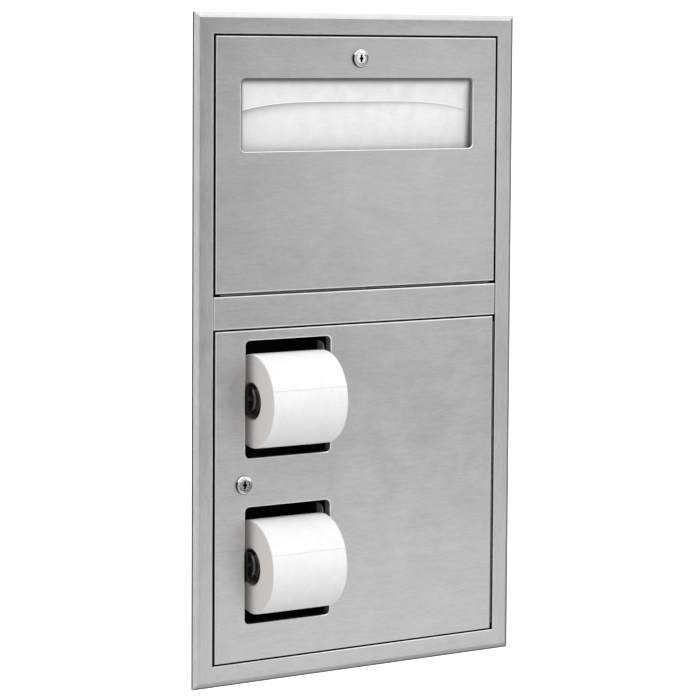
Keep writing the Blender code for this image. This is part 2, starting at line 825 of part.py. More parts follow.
def build_arm(name, side, spindle_z):
    """One bent arm: plate beside the roll, bend, and foot flat on the housing's back."""
    inner_x = roll_x + side * arm_inner_half
    foot_depth = inside_back_depth - 2 * seat_clearance - housing_sheet
    bend_depth = foot_depth - arm_bend_radius
    plate = [(bend_depth, -arm_half_height), *arm_outline(), (bend_depth, arm_half_height)]
    bm = bmesh.new()
    rings = []
    plates = []
    for radius in (arm_bend_radius, arm_bend_radius - arm_sheet):
        angles = [math.pi / 2 * step / bend_steps for step in range(bend_steps + 1)]
        path = [
            (arm_bend_radius - radius * math.cos(a), bend_depth + radius * math.sin(a)) for a in angles
        ]
        path.append((arm_foot_width, bend_depth + radius))

        def place(out, depth, rise):
            return facing_front(inner_x + side * out, spindle_z + rise, depth)

        front = [bm.verts.new(place(path[0][0], depth, rise)) for depth, rise in plate]
        low = [front[0]] + [bm.verts.new(place(*point, -arm_half_height)) for point in path[1:]]
        high = [front[-1]] + [bm.verts.new(place(*point, arm_half_height)) for point in path[1:]]
        for i in range(len(path) - 1):
            bm.faces.new((low[i], low[i + 1], high[i + 1], high[i]))
        rings.append(front + high[1:] + low[:0:-1])
        plates.append(front)
    bridge(bm, *rings)
    for front in plates:
        fill(bm, [front])
    finish(name, bm, plain_steel())


def build_roll_set(prefix, spindle_z):
    """Arms, spindle and roll of one place."""
    for word, side in (("left", -1), ("right", 1)):
        build_arm(f"{prefix}_{word}_arm", side, spindle_z)
    axis_y = front_y + roll_axis_depth
    lift = empty(f"{prefix}_spindle_lift", (roll_x, axis_y, spindle_z))
    roll_z = spindle_z - roll_play
    spin = empty(f"{prefix}_roll_spin", (roll_x + roll_shift, axis_y, roll_z), lift)

    def along_spindle(u, v, along):
        return (roll_x + along, axis_y + u, spindle_z + v)

    def along_roll(u, v, along):
        return (roll_x + roll_shift + along, axis_y + u, roll_z + v)

    bm = turned(spindle_stations(), spindle_sides, along_spindle)
    finish(f"{prefix}_spindle", bm, black_plastic(), lift)
    half = roll_length / 2
    core_outside = core_bore_radius + core_wall
    tube = [(core_bore_radius, -half), (core_outside, -half), (core_outside, half), (core_bore_radius, half)]
    finish(f"{prefix}_roll_core", turned(tube, roll_sides, along_roll, True), grey_board(), spin)
    wound = core_outside + seat_clearance
    paper = [(wound, -half), (roll_radius, -half), (roll_radius, half), (wound, half)]
    finish(f"{prefix}_roll_paper", turned(paper, roll_sides, along_roll, True), white_paper(), spin)


def spindle_stations():
    """Lug, rounded hub and body of one end, then the same mirrored."""
    lug_end = arm_inner_half + arm_sheet - lug_end_recess
    shoulder = roll_length / 2 - spindle_face_recess
    middle = (hub_radius - hub_rim_radius, spindle_half - hub_rim_radius)
    end = [(lug_radius, lug_end), (lug_radius, spindle_half)]
    end += quarter_round(middle, hub_rim_radius, 0, bend_steps)[::-1]
    end += [(hub_radius, shoulder), (spindle_radius, shoulder)]
    return [(radius, -along) for radius, along in end] + end[::-1]


def build_seat_covers():
    """Pack of folded covers on the shelf, and the front cover's half with its arched edge."""
    half = wall_inner_half_width - pack_side_room
    bottom = rail_top + seat_clearance
    top = wall_inner_half_height - pack_head_room
    front = door_return_depth + pack_gap_behind_door
    back = inside_back_depth - pack_back_room
    middle = top - pack_fold_radius
    outline = [(front, bottom), (back, bottom)]
    outline += quarter_round((back - pack_fold_radius, middle), pack_fold_radius, 0, corner_steps)
    outline += quarter_round((front + pack_fold_radius, middle), pack_fold_radius, 1, corner_steps)
    bm = prism(outline, -half, half, lambda depth, z, x: facing_front(x, z, depth))
    finish("seat_cover_pack", bm, white_paper())
    build_front_cover(half - front_cover_side_inset, front - seat_clearance - front_cover_sheet)


def build_front_cover(half, rest_depth):
    """Sheet that swells towards the window below its arched top edge."""
    bottom = upper_door_bottom + door_sheet + front_cover_foot_gap
    crown = upper_door_top - seat_window_drop - front_cover_drop
    bm = bmesh.new()
    skins = []
    for back in (0.0, front_cover_sheet):
        rows = []
        for row in range(cover_rows + 1):
            rise = row / cover_rows
            points = []
            for column in range(cover_columns + 1):
                side = 2 * column / cover_columns - 1
                top = crown - front_cover_end_fall * abs(side) ** arch_power
                swell = math.sin(math.pi * rise * cover_swell_share) * (1 - abs(side) ** arch_power)
                depth = rest_depth - front_cover_bulge * swell + back
                points.append((half * side, bottom + (top - bottom) * rise, depth))
            rows.append(add_ring(bm, points, facing_front))
        for low, high in zip(rows, rows[1:]):
            for i in range(cover_columns):
                bm.faces.new((low[i], low[i + 1], high[i + 1], high[i]))
        right = [row[-1] for row in rows[1:-1]]
        left = [row[0] for row in rows[1:-1]]
        skins.append(rows[0] + right + rows[-1][::-1] + left[::-1])
    bridge(bm, *skins)
    finish("front_seat_cover", bm, white_paper())


def clear_scene():
    """Remove every object of the scene."""
    for thing in list(bpy.data.objects):
        bpy.data.objects.remove(thing, do_unlink=True)


def build():
    """Build every piece in its place, the doors shut and the locks open."""
    clear_scene()
    build_flange_frame()
    build_cabinet()
    build_rail_and_shelf()
    build_strikes()
    build_seat_covers()
    build_housing()
    for prefix, z in (("upper", upper_spindle_z), ("lower", lower_spindle_z)):
        build_roll_set(prefix, z)
    axis_y = front_y + hinge_axis_depth
    lower_middle = (lower_door_top + lower_door_bottom) / 2
    upper_door = empty("upper_door_hinge", (0.0, axis_y, upper_hinge_z))
    lower_door = empty("lower_door_hinge", (lower_hinge_x, axis_y, lower_middle))
    build_hinges(upper_door, lower_door)
    build_upper_door(upper_door)
    build_lower_door(lower_door)
    locks = (
        ("upper", upper_lock_place, 0.0, upper_door),
        ("lower", lower_lock_place, math.pi / 2, lower_door),
    )
    for prefix, place, cam_turn, door in locks:
        turn = empty(f"{prefix}_lock_turn", facing_front(*place, 0.0), door)
        build_lock(prefix, place, cam_turn, door, turn)


build()
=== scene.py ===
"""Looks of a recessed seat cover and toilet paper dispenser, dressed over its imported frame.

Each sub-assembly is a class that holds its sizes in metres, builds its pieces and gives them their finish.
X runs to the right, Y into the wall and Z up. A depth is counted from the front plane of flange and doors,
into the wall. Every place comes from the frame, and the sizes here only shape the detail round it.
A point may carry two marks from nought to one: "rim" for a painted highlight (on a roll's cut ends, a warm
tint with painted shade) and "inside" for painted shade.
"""

import logging
import math
import random
from collections.abc import Callable, Sequence
from dataclasses import dataclass
from enum import Enum

import bmesh
import bpy
from mathutils import Matrix, Vector


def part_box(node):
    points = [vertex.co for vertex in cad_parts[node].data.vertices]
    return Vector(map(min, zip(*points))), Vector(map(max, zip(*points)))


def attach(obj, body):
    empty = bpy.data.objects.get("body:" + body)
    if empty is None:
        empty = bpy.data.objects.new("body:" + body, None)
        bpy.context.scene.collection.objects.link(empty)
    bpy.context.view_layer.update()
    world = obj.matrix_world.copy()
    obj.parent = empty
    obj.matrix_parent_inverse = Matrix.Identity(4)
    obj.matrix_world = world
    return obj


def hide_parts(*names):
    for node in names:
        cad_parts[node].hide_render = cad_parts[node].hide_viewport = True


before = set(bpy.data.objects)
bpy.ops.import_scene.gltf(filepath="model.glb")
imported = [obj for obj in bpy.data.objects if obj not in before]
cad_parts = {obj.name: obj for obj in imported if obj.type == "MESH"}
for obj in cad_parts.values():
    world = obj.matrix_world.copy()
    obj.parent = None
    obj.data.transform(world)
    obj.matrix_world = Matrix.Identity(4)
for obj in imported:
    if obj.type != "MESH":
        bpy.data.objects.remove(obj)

log = logging.getLogger("dispenser")

Point2 = tuple[float, float]
Point3 = tuple[float, float, float]
Plane = Callable[[float, float, float], Point3]
Ring = Sequence[tuple[float, ...]]
Socket = bpy.types.NodeSocket
Node = bpy.types.Node
Tree = bpy.types.NodeTree
Mesh = bpy.types.Mesh

SEAT_GAP = 0.0003
FRONT_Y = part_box("flange_frame")[0].y


def on_front(u: float, v: float, depth: float) -> Point3:
    """Place a point on the front plane of flange and doors, at a depth into the wall."""
    return (u, FRONT_Y + depth, v)


def clamp(value: float) -> float:
    """Keep a value between nought and one."""
    return min(1.0, max(0.0, value))


class Grain(Enum):
    """Direction in which a sheet was brushed."""

    ACROSS = (1.0, 0.0, 0.0)
    UPRIGHT = (0.0, 0.0, 1.0)


class NodeBoard:
    """Adds nodes to one tree and links them as they are added."""

    def __init__(self, tree: Tree) -> None:
        """Start on a tree."""
        self.tree = tree

    def add(self, kind: str, inputs: dict | None = None, **settings: object) -> Node:
        """Add a node, set its options, and link or fill its inputs.

        Args:
            kind: Blender's name for the node's type.
            inputs: Socket names or numbers, each with a value or with a socket to link from.
            **settings: Options of the node, such as its operation.

        Returns:
            The new node.
        """
        node = self.tree.nodes.new(kind)
        for option, value in settings.items():
            setattr(node, option, value)
        for key, value in (inputs or {}).items():
            if isinstance(value, Socket):
                self.tree.links.new(value, node.inputs[key])
            else:
                node.inputs[key].default_value = value
        return node

    def math(self, operation: str, *values: object) -> Socket:
        """Add a Math node on numbers or sockets."""
        return self.add("ShaderNodeMath", dict(enumerate(values)), operation=operation).outputs[0]

    def vector(self, operation: str, *values: object) -> Node:
        """Add a Vector Math node on vectors or sockets."""
        return self.add("ShaderNodeVectorMath", dict(enumerate(values)), operation=operation)

    def scaled(self, vector: Socket, amount: float | Socket) -> Socket:
        """Scale a vector."""
        return self.add("ShaderNodeVectorMath", {0: vector, "Scale": amount}, operation="SCALE").outputs[0]

    def noise(self, place: Socket, scale: float | Socket, detail: float, roughness: float = 0.5,
              distortion: float = 0.0) -> Socket:
        """Add a noise with all its inputs."""
        return self.add("ShaderNodeTexNoise", {"Vector": place, "Scale": scale, "Detail": detail,
                                               "Roughness": roughness, "Distortion": distortion}).outputs[0]

    def mixed(self, first: Socket, second: Socket, share: float) -> Socket:
        """Mix two values by the share of the first."""
        return self.math("MULTIPLY_ADD", first, share, self.math("MULTIPLY", second, 1 - share))

    def spread(self, amount: Socket, span: Point2, values: Point2) -> Socket:
        """Turn an amount within a span into a value between two others."""
        return self.add("ShaderNodeMapRange", {0: amount, 1: span[0], 2: span[1], 3: values[0],
                                               4: values[1]}).outputs[0]

    def between(self, amount: Socket, span: Point2, dark: tuple, light: tuple) -> Socket:
        """Mix two colours by an amount within a span."""
        return self.add("ShaderNodeMix", {"Factor": self.spread(amount, span, (0.0, 1.0)), "A": (*dark, 1.0),
                                          "B": (*light, 1.0)}, data_type="RGBA").outputs["Result"]

    def marked(self, under: Socket, mark: str, over: float | tuple) -> Socket:
        """Mix a value or a colour in where the mesh carries a mark.

        Args:
            under: Value or colour without the mark.
            mark: The mark's name.
            over: Value or colour of fully marked places.

        Returns:
            The mixed socket.
        """
        amount = self.add("ShaderNodeAttribute", attribute_name=mark).outputs["Fac"]
        is_colour = isinstance(over, tuple)
        full = (*over, 1.0) if is_colour else over
        return self.add("ShaderNodeMix", {"Factor": amount, "A": under, "B": full},
                        data_type="RGBA" if is_colour else "FLOAT").outputs["Result"]

    def dress(self, shader: Node, colour: Socket, roughness: Socket, constants: dict[str, float]) -> None:
        """Give a shader its colour, its roughness and its constants.

        Args:
            shader: The Principled shader.
            colour: Its colour.
            roughness: Its roughness.
            constants: Values of its other sockets, by name.
        """
        self.tree.links.new(colour, shader.inputs["Base Color"])
        self.tree.links.new(roughness, shader.inputs["Roughness"])
        for label, value in constants.items():
            shader.inputs[label].default_value = value

    def bumps(self, shader: Node, height: Socket, depth: float, strength: float) -> None:
        """Let a height map of a real depth tilt a shader's normal."""
        bump = self.add("ShaderNodeBump", {"Height": height, "Distance": depth, "Strength": strength})
        self.tree.links.new(bump.outputs[0], shader.inputs["Normal"])


class SurfaceEffects:
    """Shader node groups that several finishes share, each built once."""

    def __init__(self) -> None:
        """Start with no group built."""
        self.built: dict[str, Tree] = {}

    def place(self, board: NodeBoard, name: str, inputs: dict, draw: Callable) -> bpy.types.NodeOutputs:
        """Place a group in a material, and build it the first time.

        Args:
            board: The material's nodes.
            name: The group's name.
            inputs: Its inputs by name: a socket for a vector, a number for a value.
            draw: Turns a board and the group's inputs into its outputs by name.

        Returns:
            The outputs of the group's node.
        """
        if name not in self.built:
            tree = bpy.data.node_groups.new(name, "ShaderNodeTree")
            for label, value in inputs.items():
                kind = "NodeSocketVector" if isinstance(value, Socket) else "NodeSocketFloat"
                tree.interface.new_socket(label, in_out="INPUT", socket_type=kind)
            inner = NodeBoard(tree)
            results = draw(inner, inner.add("NodeGroupInput").outputs)
            for label in results:
                tree.interface.new_socket(label, in_out="OUTPUT", socket_type="NodeSocketFloat")
            inner.add("NodeGroupOutput", results)
            self.built[name] = tree
        return board.add("ShaderNodeGroup", inputs, node_tree=self.built[name]).outputs

    def brushing(self, board: NodeBoard, stretched: Socket) -> bpy.types.NodeOutputs:
        """Long fine scratches and the broader streaks among them, on a vector stretched along the grain."""

        def draw(inner: NodeBoard, given: bpy.types.NodeOutputs) -> dict[str, Socket]:
            """Nodes of the group.

            Args:
                inner: The group's own nodes.
                given: Its inputs, by name.

            Returns:
                Its outputs, by name.
            """
            fine = inner.noise(given["Vector"], 1.0, 3.0, 0.7)
            wide = inner.noise(inner.scaled(given["Vector"], given["Streak Share"]), 1.0, 2.0)
            return {"Scratches": fine, "Streaks": inner.mixed(wide, fine, 0.25)}

        return self.place(board, "brushing", {"Vector": stretched, "Streak Share": 0.12}, draw)

    def clouds(self, board: NodeBoard, place: Socket, patches: float) -> Socket:
        """Soft patches, such as a rolled sheet or hung paper shows."""

        def draw(inner: NodeBoard, given: bpy.types.NodeOutputs) -> dict[str, Socket]:
            """Nodes of the group."""
            return {"Clouds": inner.noise(given["Vector"], given["Patches"], 3.0, 0.55, 0.4)}

        return self.place(board, "clouding", {"Vector": place, "Patches": patches}, draw)["Clouds"]

    def fibres(self, board: NodeBoard, place: Socket, per_metre: float) -> Socket:
        """Crossed fibres of soft paper or board."""

        def draw(inner: NodeBoard, given: bpy.types.NodeOutputs) -> dict[str, Socket]:
            """Nodes of the group.

            Args:
                inner: The group's own nodes.
                given: Its inputs, by name.

            Returns:
                Its outputs, by name.
            """
            warped = inner.noise(given["Vector"], given["Fibres"], 4.0, 0.75, 1.2)
            grit = inner.noise(given["Vector"], inner.math("MULTIPLY", given["Fibres"], 0.2), 3.0)
            return {"Fibre": inner.mixed(grit, warped, 0.6)}

        return self.place(board, "fibres", {"Vector": place, "Fibres": per_metre}, draw)["Fibre"]


effects = SurfaceEffects()


class Finish:
    """A surface finish: one material, made the first time that it is asked for."""

    name: str
    slot: str

    def material(self) -> bpy.types.Material:
        """Give the finish's material, and build it once.

        Returns:
            The material.
        """
        made = bpy.data.materials.get(self.name)
        if made is None:
            made = bpy.data.materials.new(self.name)
            made.use_nodes = True
            board = NodeBoard(made.node_tree)
            place = board.add("ShaderNodeTexCoord").outputs["Object"]
            self.draw(board, place, made.node_tree.nodes["Principled BSDF"])
        return made

    def draw(self, board: NodeBoard, place: Socket, shader: Node) -> None:
        """Add the finish's nodes on the piece's own coordinates; each finish has its own."""
        raise NotImplementedError


@dataclass(frozen=True)
class SatinSteel(Finish):
    """Stainless sheet with a brushed satin grain in one direction."""

    name: str
    grain: Grain
    slot: str = "satin_stainless"
    dark: tuple = (0.538, 0.532, 0.52)
    light: tuple = (0.672, 0.664, 0.649)
    # Painted highlight on the bends, where the rim mark is.
    rim: tuple = (0.97, 0.97, 0.965)
    # Colour of the painted shade in gaps, lips and inward bends, where the inside mark is.
    painted_shade: tuple = (0.02, 0.02, 0.02)
    scratch_length: float = 0.009
    scratch_width: float = 0.0013
    scratch_depth: float = 0.00002
    patch_size: float = 0.045
    cloud_share: float = 0.3
    tone_span: Point2 = (0.36, 0.64)
    gloss_span: Point2 = (0.3, 0.7)
    roughness: Point2 = (0.33, 0.43)
    rim_roughness: float = 0.22
    dull_roughness: float = 0.85

    def draw(self, board: NodeBoard, place: Socket, shader: Node) -> None:
        """Brush the sheet, cloud it a little and let both change its gloss.

        Args:
            board: The material's nodes.
            place: Coordinates of the piece itself, in metres.
            shader: The Principled shader.
        """
        scale = [1 / self.scratch_length if share else 1 / self.scratch_width for share in self.grain.value]
        stretched = board.add("ShaderNodeMapping", {"Vector": place, "Scale": scale}).outputs[0]
        brushed = effects.brushing(board, stretched)
        clouds = effects.clouds(board, place, 1 / self.patch_size)
        tone = board.mixed(clouds, brushed["Streaks"], self.cloud_share)
        colour = board.between(tone, self.tone_span, self.dark, self.light)
        rough = board.spread(tone, self.gloss_span, self.roughness)
        # The rim mark paints a highlight and the inside mark paints shade.
        for mark, over, gloss in (("rim", self.rim, self.rim_roughness),
                                  ("inside", self.painted_shade, self.dull_roughness)):
            colour = board.marked(colour, mark, over)
            rough = board.marked(rough, mark, gloss)
        board.dress(shader, colour, rough, {"Metallic": 1.0})
        board.bumps(shader, brushed["Scratches"], self.scratch_depth, 0.35)


@dataclass(frozen=True)
class CloudedFinish(Finish):
    """Metal, paint or plastic whose colour and gloss change in soft clouds."""

    name: str
    slot: str
    dark: tuple
    light: tuple
    roughness: Point2 = (0.3, 0.45)
    patches: float = 220.0
    tone_span: Point2 = (0.35, 0.65)
    gloss_span: Point2 = (0.3, 0.7)
    metallic: float = 1.0
    coat: float = 0.0
    bump_depth: float = 0.00003
    bump_strength: float = 0.3
    bump_patches: float = 0.0
    # Colours of painted highlight and painted shade where the mesh carries marks.
    rim: tuple = ()
    inside: tuple = ()
    # Depths at which the piece shows its own colour; in front and behind them it fades into painted shade.
    unshaded_depths: tuple = ()
    shade_fade: float = 0.0015
    depth_shade: tuple = (0.045, 0.045, 0.045)

    def draw(self, board: NodeBoard, place: Socket, shader: Node) -> None:
        """Cloud colour and gloss, paint highlight and shade where the mesh is marked, and paint shade on the
        piece outside of its unshaded depths.

        Args:
            board: The material's nodes.
            place: Coordinates of the piece itself, in metres.
            shader: The Principled shader.
        """
        clouds = effects.clouds(board, place, self.patches)
        colour = board.between(clouds, self.tone_span, self.dark, self.light)
        # Painted shade by depth: near black outside the unshaded depths.
        if self.unshaded_depths:
            near, far = (FRONT_Y + depth for depth in self.unshaded_depths)
            y = board.add("ShaderNodeSeparateXYZ", {0: place}).outputs["Y"]
            shown = board.math("MULTIPLY", board.spread(y, (near - self.shade_fade, near), (0.0, 1.0)),
                               board.spread(y, (far, far + self.shade_fade), (1.0, 0.0)))
            colour = board.add("ShaderNodeMix", {"Factor": shown, "A": (*self.depth_shade, 1.0), "B": colour},
                               data_type="RGBA").outputs["Result"]
        for mark, over in (("rim", self.rim), ("inside", self.inside)):
            colour = board.marked(colour, mark, over) if over else colour
        rough = board.spread(clouds, self.gloss_span, self.roughness)
        board.dress(shader, colour, rough, {"Metallic": self.metallic, "Coat Weight": self.coat})
        if self.bump_depth:
            height = effects.clouds(board, place, self.bump_patches) if self.bump_patches else clouds
            board.bumps(shader, height, self.bump_depth, self.bump_strength)


@dataclass(frozen=True)
class FibreFinish(Finish):
    """Soft paper or board: crossed fibres and a matt surface."""

    name: str
    slot: str
    dark: tuple
    light: tuple
    fibres_per_metre: float
    relief: float
    crinkle_share: float = 0.0
    cloud_share: float = 0.4
    specular: float = 0.25
    # Edge colour: on a roll's cut ends a warm tint with painted shade, on the cover's arched edge a painted
    # highlight.
    edge: tuple = (0.74, 0.70, 0.67)
    shade: tuple = (0.12, 0.12, 0.122)
    patches: float = 60.0
    crinkle_length: float = 0.012
    crinkle_height: float = 0.0016
    tone_span: Point2 = (0.35, 0.65)
    gloss_span: Point2 = (0.3, 0.7)
    roughness: Point2 = (0.8, 0.95)

    def draw(self, board: NodeBoard, place: Socket, shader: Node) -> None:
        """Lay fibres and flat crinkles, cloud the tone, colour the marked edges and paint shade where the
        inside mark is.

        Args:
            board: The material's nodes.
            place: Coordinates of the piece itself, in metres.
            shader: The Principled shader.
        """
        fibre = relief = effects.fibres(board, place, self.fibres_per_metre)
        if self.crinkle_share:
            scale = (1 / self.crinkle_length, 0.0, 1 / self.crinkle_height)
            flat = board.add("ShaderNodeMapping", {"Vector": place, "Scale": scale}).outputs[0]
            relief = board.mixed(effects.brushing(board, flat)["Scratches"], fibre, self.crinkle_share)
        tone = relief
        if self.cloud_share:
            tone = board.mixed(effects.clouds(board, place, self.patches), relief, self.cloud_share)
        colour = board.between(tone, self.tone_span, self.dark, self.light)
        colour = board.marked(board.marked(colour, "rim", self.edge), "inside", self.shade)
        rough = board.spread(fibre, self.gloss_span, self.roughness)
        board.dress(shader, colour, rough, {"Specular IOR Level": self.specular})
        board.bumps(shader, relief, self.relief, 0.5)


STEEL_ACROSS = SatinSteel("satin_steel_across", Grain.ACROSS)
STEEL_UPRIGHT = SatinSteel("satin_steel_upright", Grain.UPRIGHT)
# Mill finish inside, darkened further as painted shade so that the gaps and the cabinet's inside stay dark.
SHADED_MILL_STEEL = CloudedFinish("mill_steel_painted_shade", "satin_stainless", (0.20, 0.20, 0.20), (0.27, 0.27, 0.268),
                           patches=40.0)
PARTS_STEEL = CloudedFinish("plain_steel_parts", "plain_steel", (0.34, 0.34, 0.34), (0.5, 0.5, 0.495))
# Arm steel: lighter than the other parts' steel to make up for the little light it gets, with painted shade
# at the nose and deep inside.
ARM_STEEL = CloudedFinish("arm_steel", "plain_steel", (0.42, 0.42, 0.415), (0.58, 0.58, 0.575), (0.6, 0.75),
                          unshaded_depths=(0.011, 0.025))
# Painted shade: hinge steel darkened to stand for the shade in which the hinges sit.
SHADED_HINGE_STEEL = CloudedFinish("hinge_steel_painted_shade", "plain_steel", (0.10, 0.10, 0.10), (0.16, 0.16, 0.158))
# Chrome colour with painted highlight where the rim mark is and painted shade where the inside mark is.
CHROME = CloudedFinish("lock_chrome", "chrome", (0.48, 0.475, 0.465), (0.72, 0.715, 0.70), (0.12, 0.24),
                       700.0, (0.38, 0.62), (0.35, 0.65), bump_depth=0.0, rim=(0.95, 0.95, 0.945),
                       inside=(0.008, 0.008, 0.008))
# Black paint, made near black also as painted shade inside the cabinet behind the rolls.
BLACK_PAINT_AND_SHADE = CloudedFinish("housing_black_painted_shade", "black_paint", (0.008, 0.008, 0.009), (0.016, 0.016, 0.017),
                      (0.45, 0.6), 25.0, (0.3, 0.7), metallic=0.0, bump_depth=0.00006, bump_strength=0.4,
                      bump_patches=700.0)
PLASTIC = CloudedFinish("spindle_black", "black_plastic", (0.006, 0.006, 0.006), (0.014, 0.013, 0.013),
                        (0.10, 0.18), 160.0, (0.3, 0.7), (0.35, 0.65), 0.0, 0.8, 0.00005, 0.2)
BOARD = FibreFinish("core_board", "grey_board", (0.27, 0.22, 0.17), (0.47, 0.41, 0.33), 1200.0, 0.00008,
                    cloud_share=0.0, specular=0.5)
# Its cut ends take the default edge colour: a warm tint with painted shade.
ROLL_SKIN = FibreFinish("roll_tissue", "white_paper", (0.75, 0.745, 0.745), (0.82, 0.815, 0.815), 1500.0,
                        0.00014)
# Its edge colour is a painted highlight along the arched edge.
COVER_SKIN = FibreFinish("cover_tissue", "white_paper", (0.74, 0.74, 0.746), (0.86, 0.86, 0.866), 2200.0,
                         0.00045, 0.6, edge=(0.98, 0.98, 0.985))


@dataclass(frozen=True)
class RoundedRectangle:
    """A rectangle with rounded corners that moves into the sheet by an inset."""

    low_u: float
    high_u: float
    low_v: float
    high_v: float
    corner: float
    is_hole: bool = False
    dark_top: float = 0.0
    steps: int = 6
    corner_fade: float = 0.004
    least_corner: float = 0.00008
    # Share of the painted highlight taken off the outline's left side.
    left_highlight_cut: float = 0.8
    side_fade: float = 0.008

    def loop(self, inset: float) -> list[Point2]:
        """Points round the rectangle, counted from its right upper corner.

        Args:
            inset: Distance into the sheet: outwards from a hole, inwards from an outline.

        Returns:
            As many points for every inset.
        """
        move = inset if self.is_hole else -inset
        shrunk = self.corner * (1 - inset / self.corner_fade)
        radius = self.corner + inset if self.is_hole else max(shrunk, self.least_corner)
        half_u = (self.high_u - self.low_u) / 2 + move - radius
        half_v = (self.high_v - self.low_v) / 2 + move - radius
        middle = ((self.low_u + self.high_u) / 2, (self.low_v + self.high_v) / 2)
        points = []
        for turn, (side, rise) in enumerate(((1, 1), (-1, 1), (-1, -1), (1, -1))):
            points += arc((middle[0] + side * half_u, middle[1] + rise * half_v), radius, turn, self.steps)
        return points

    def marks(self, u: float, v: float, rim: float, inside: float) -> Point2:
        """Painted highlight and painted shade of a place on the bend, which differ from side to side.

        Args:
            u: Its place across.
            v: Its place upwards.
            rim: Painted highlight of the section there.
            inside: Painted shade of the section there.

        Returns:
            The painted highlight and the painted shade of this place.
        """
        if not self.is_hole:
            return rim * (1 - self.left_highlight_cut * clamp((self.low_u - u) / self.side_fade + 1)), inside
        # Painted shade deepens at a hole's foot, and with dark_top the top bend's painted highlight turns
        # into painted shade.
        under = clamp((v - self.high_v) / self.corner + 1) if self.dark_top else 0.0
        foot = clamp((self.low_v - v) / self.corner + 1)
        return rim * (1 - under), max(min(1.0, inside * (1 + foot)), self.dark_top * under * rim)


@dataclass(frozen=True)
class TurnedEdge:
    """Section of a sheet's bent edge, from its front skin round the lip to its inner skin."""

    radius: float
    sheet: float
    lip: float
    shade: float = 1.0
    steps: int = 8
    support: float = 0.0005
    worn: float = 0.00012
    # Gain of the painted highlight round the bend.
    painted_highlight: float = 2.5

    def section(self) -> list[tuple[float, ...]]:
        """Follow the edge, with flat supports beside the bend.

        Returns:
            Insets and depths with their painted highlight and painted shade marks.
        """
        turns = [math.pi / 2 * step / self.steps for step in range(self.steps + 1)]
        inner = self.radius - self.sheet
        far = self.radius + self.support
        dark = self.shade
        # Painted highlight peaks halfway round the bend; painted shade grows as it turns inwards and covers
        # the lip.
        outside = [(self.radius * (1 - math.sin(a)), self.radius * (1 - math.cos(a)),
                    min(1.0, self.painted_highlight * math.sin(2 * a) ** 2), dark * (1 - math.cos(a)) ** 2)
                   for a in turns]
        inside = [(self.radius - inner * math.sin(a), self.radius - inner * math.cos(a), 0.0, 0.0)
                  for a in turns]
        end = [(0.0, self.lip - self.worn, 0.0, dark), (self.worn, self.lip, 0.0, dark),
               (self.sheet - self.worn, self.lip, 0.0, 0.0), (self.sheet, self.lip - self.worn, 0.0, 0.0)]
        return [(far, 0.0, 0.0, 0.0), *outside, (0.0, far, 0.0, dark), *end, (self.sheet, far, 0.0, 0.0),
                *inside[::-1], (far, self.sheet, 0.0, 0.0)]


def arc(centre: Point2, radius: float, start: float, steps: int) -> list[Point2]:
    """Quarter circle that starts at a number of quarter turns."""
    turns = [math.pi / 2 * (start + step / steps) for step in range(steps + 1)]
    return [(centre[0] + radius * math.cos(a), centre[1] + radius * math.sin(a)) for a in turns]


def circle(radius: float, sides: int, centre: Point2 = (0.0, 0.0)) -> list[Point2]:
    """Points round a full circle."""
    turns = [2 * math.pi * step / sides for step in range(sides)]
    return [(centre[0] + radius * math.cos(a), centre[1] + radius * math.sin(a)) for a in turns]


def levels(outline: Sequence[Point2], *depths: float) -> list[list[Point3]]:
    """The same outline at several depths."""
    return [[(u, v, depth) for u, v in outline] for depth in depths]


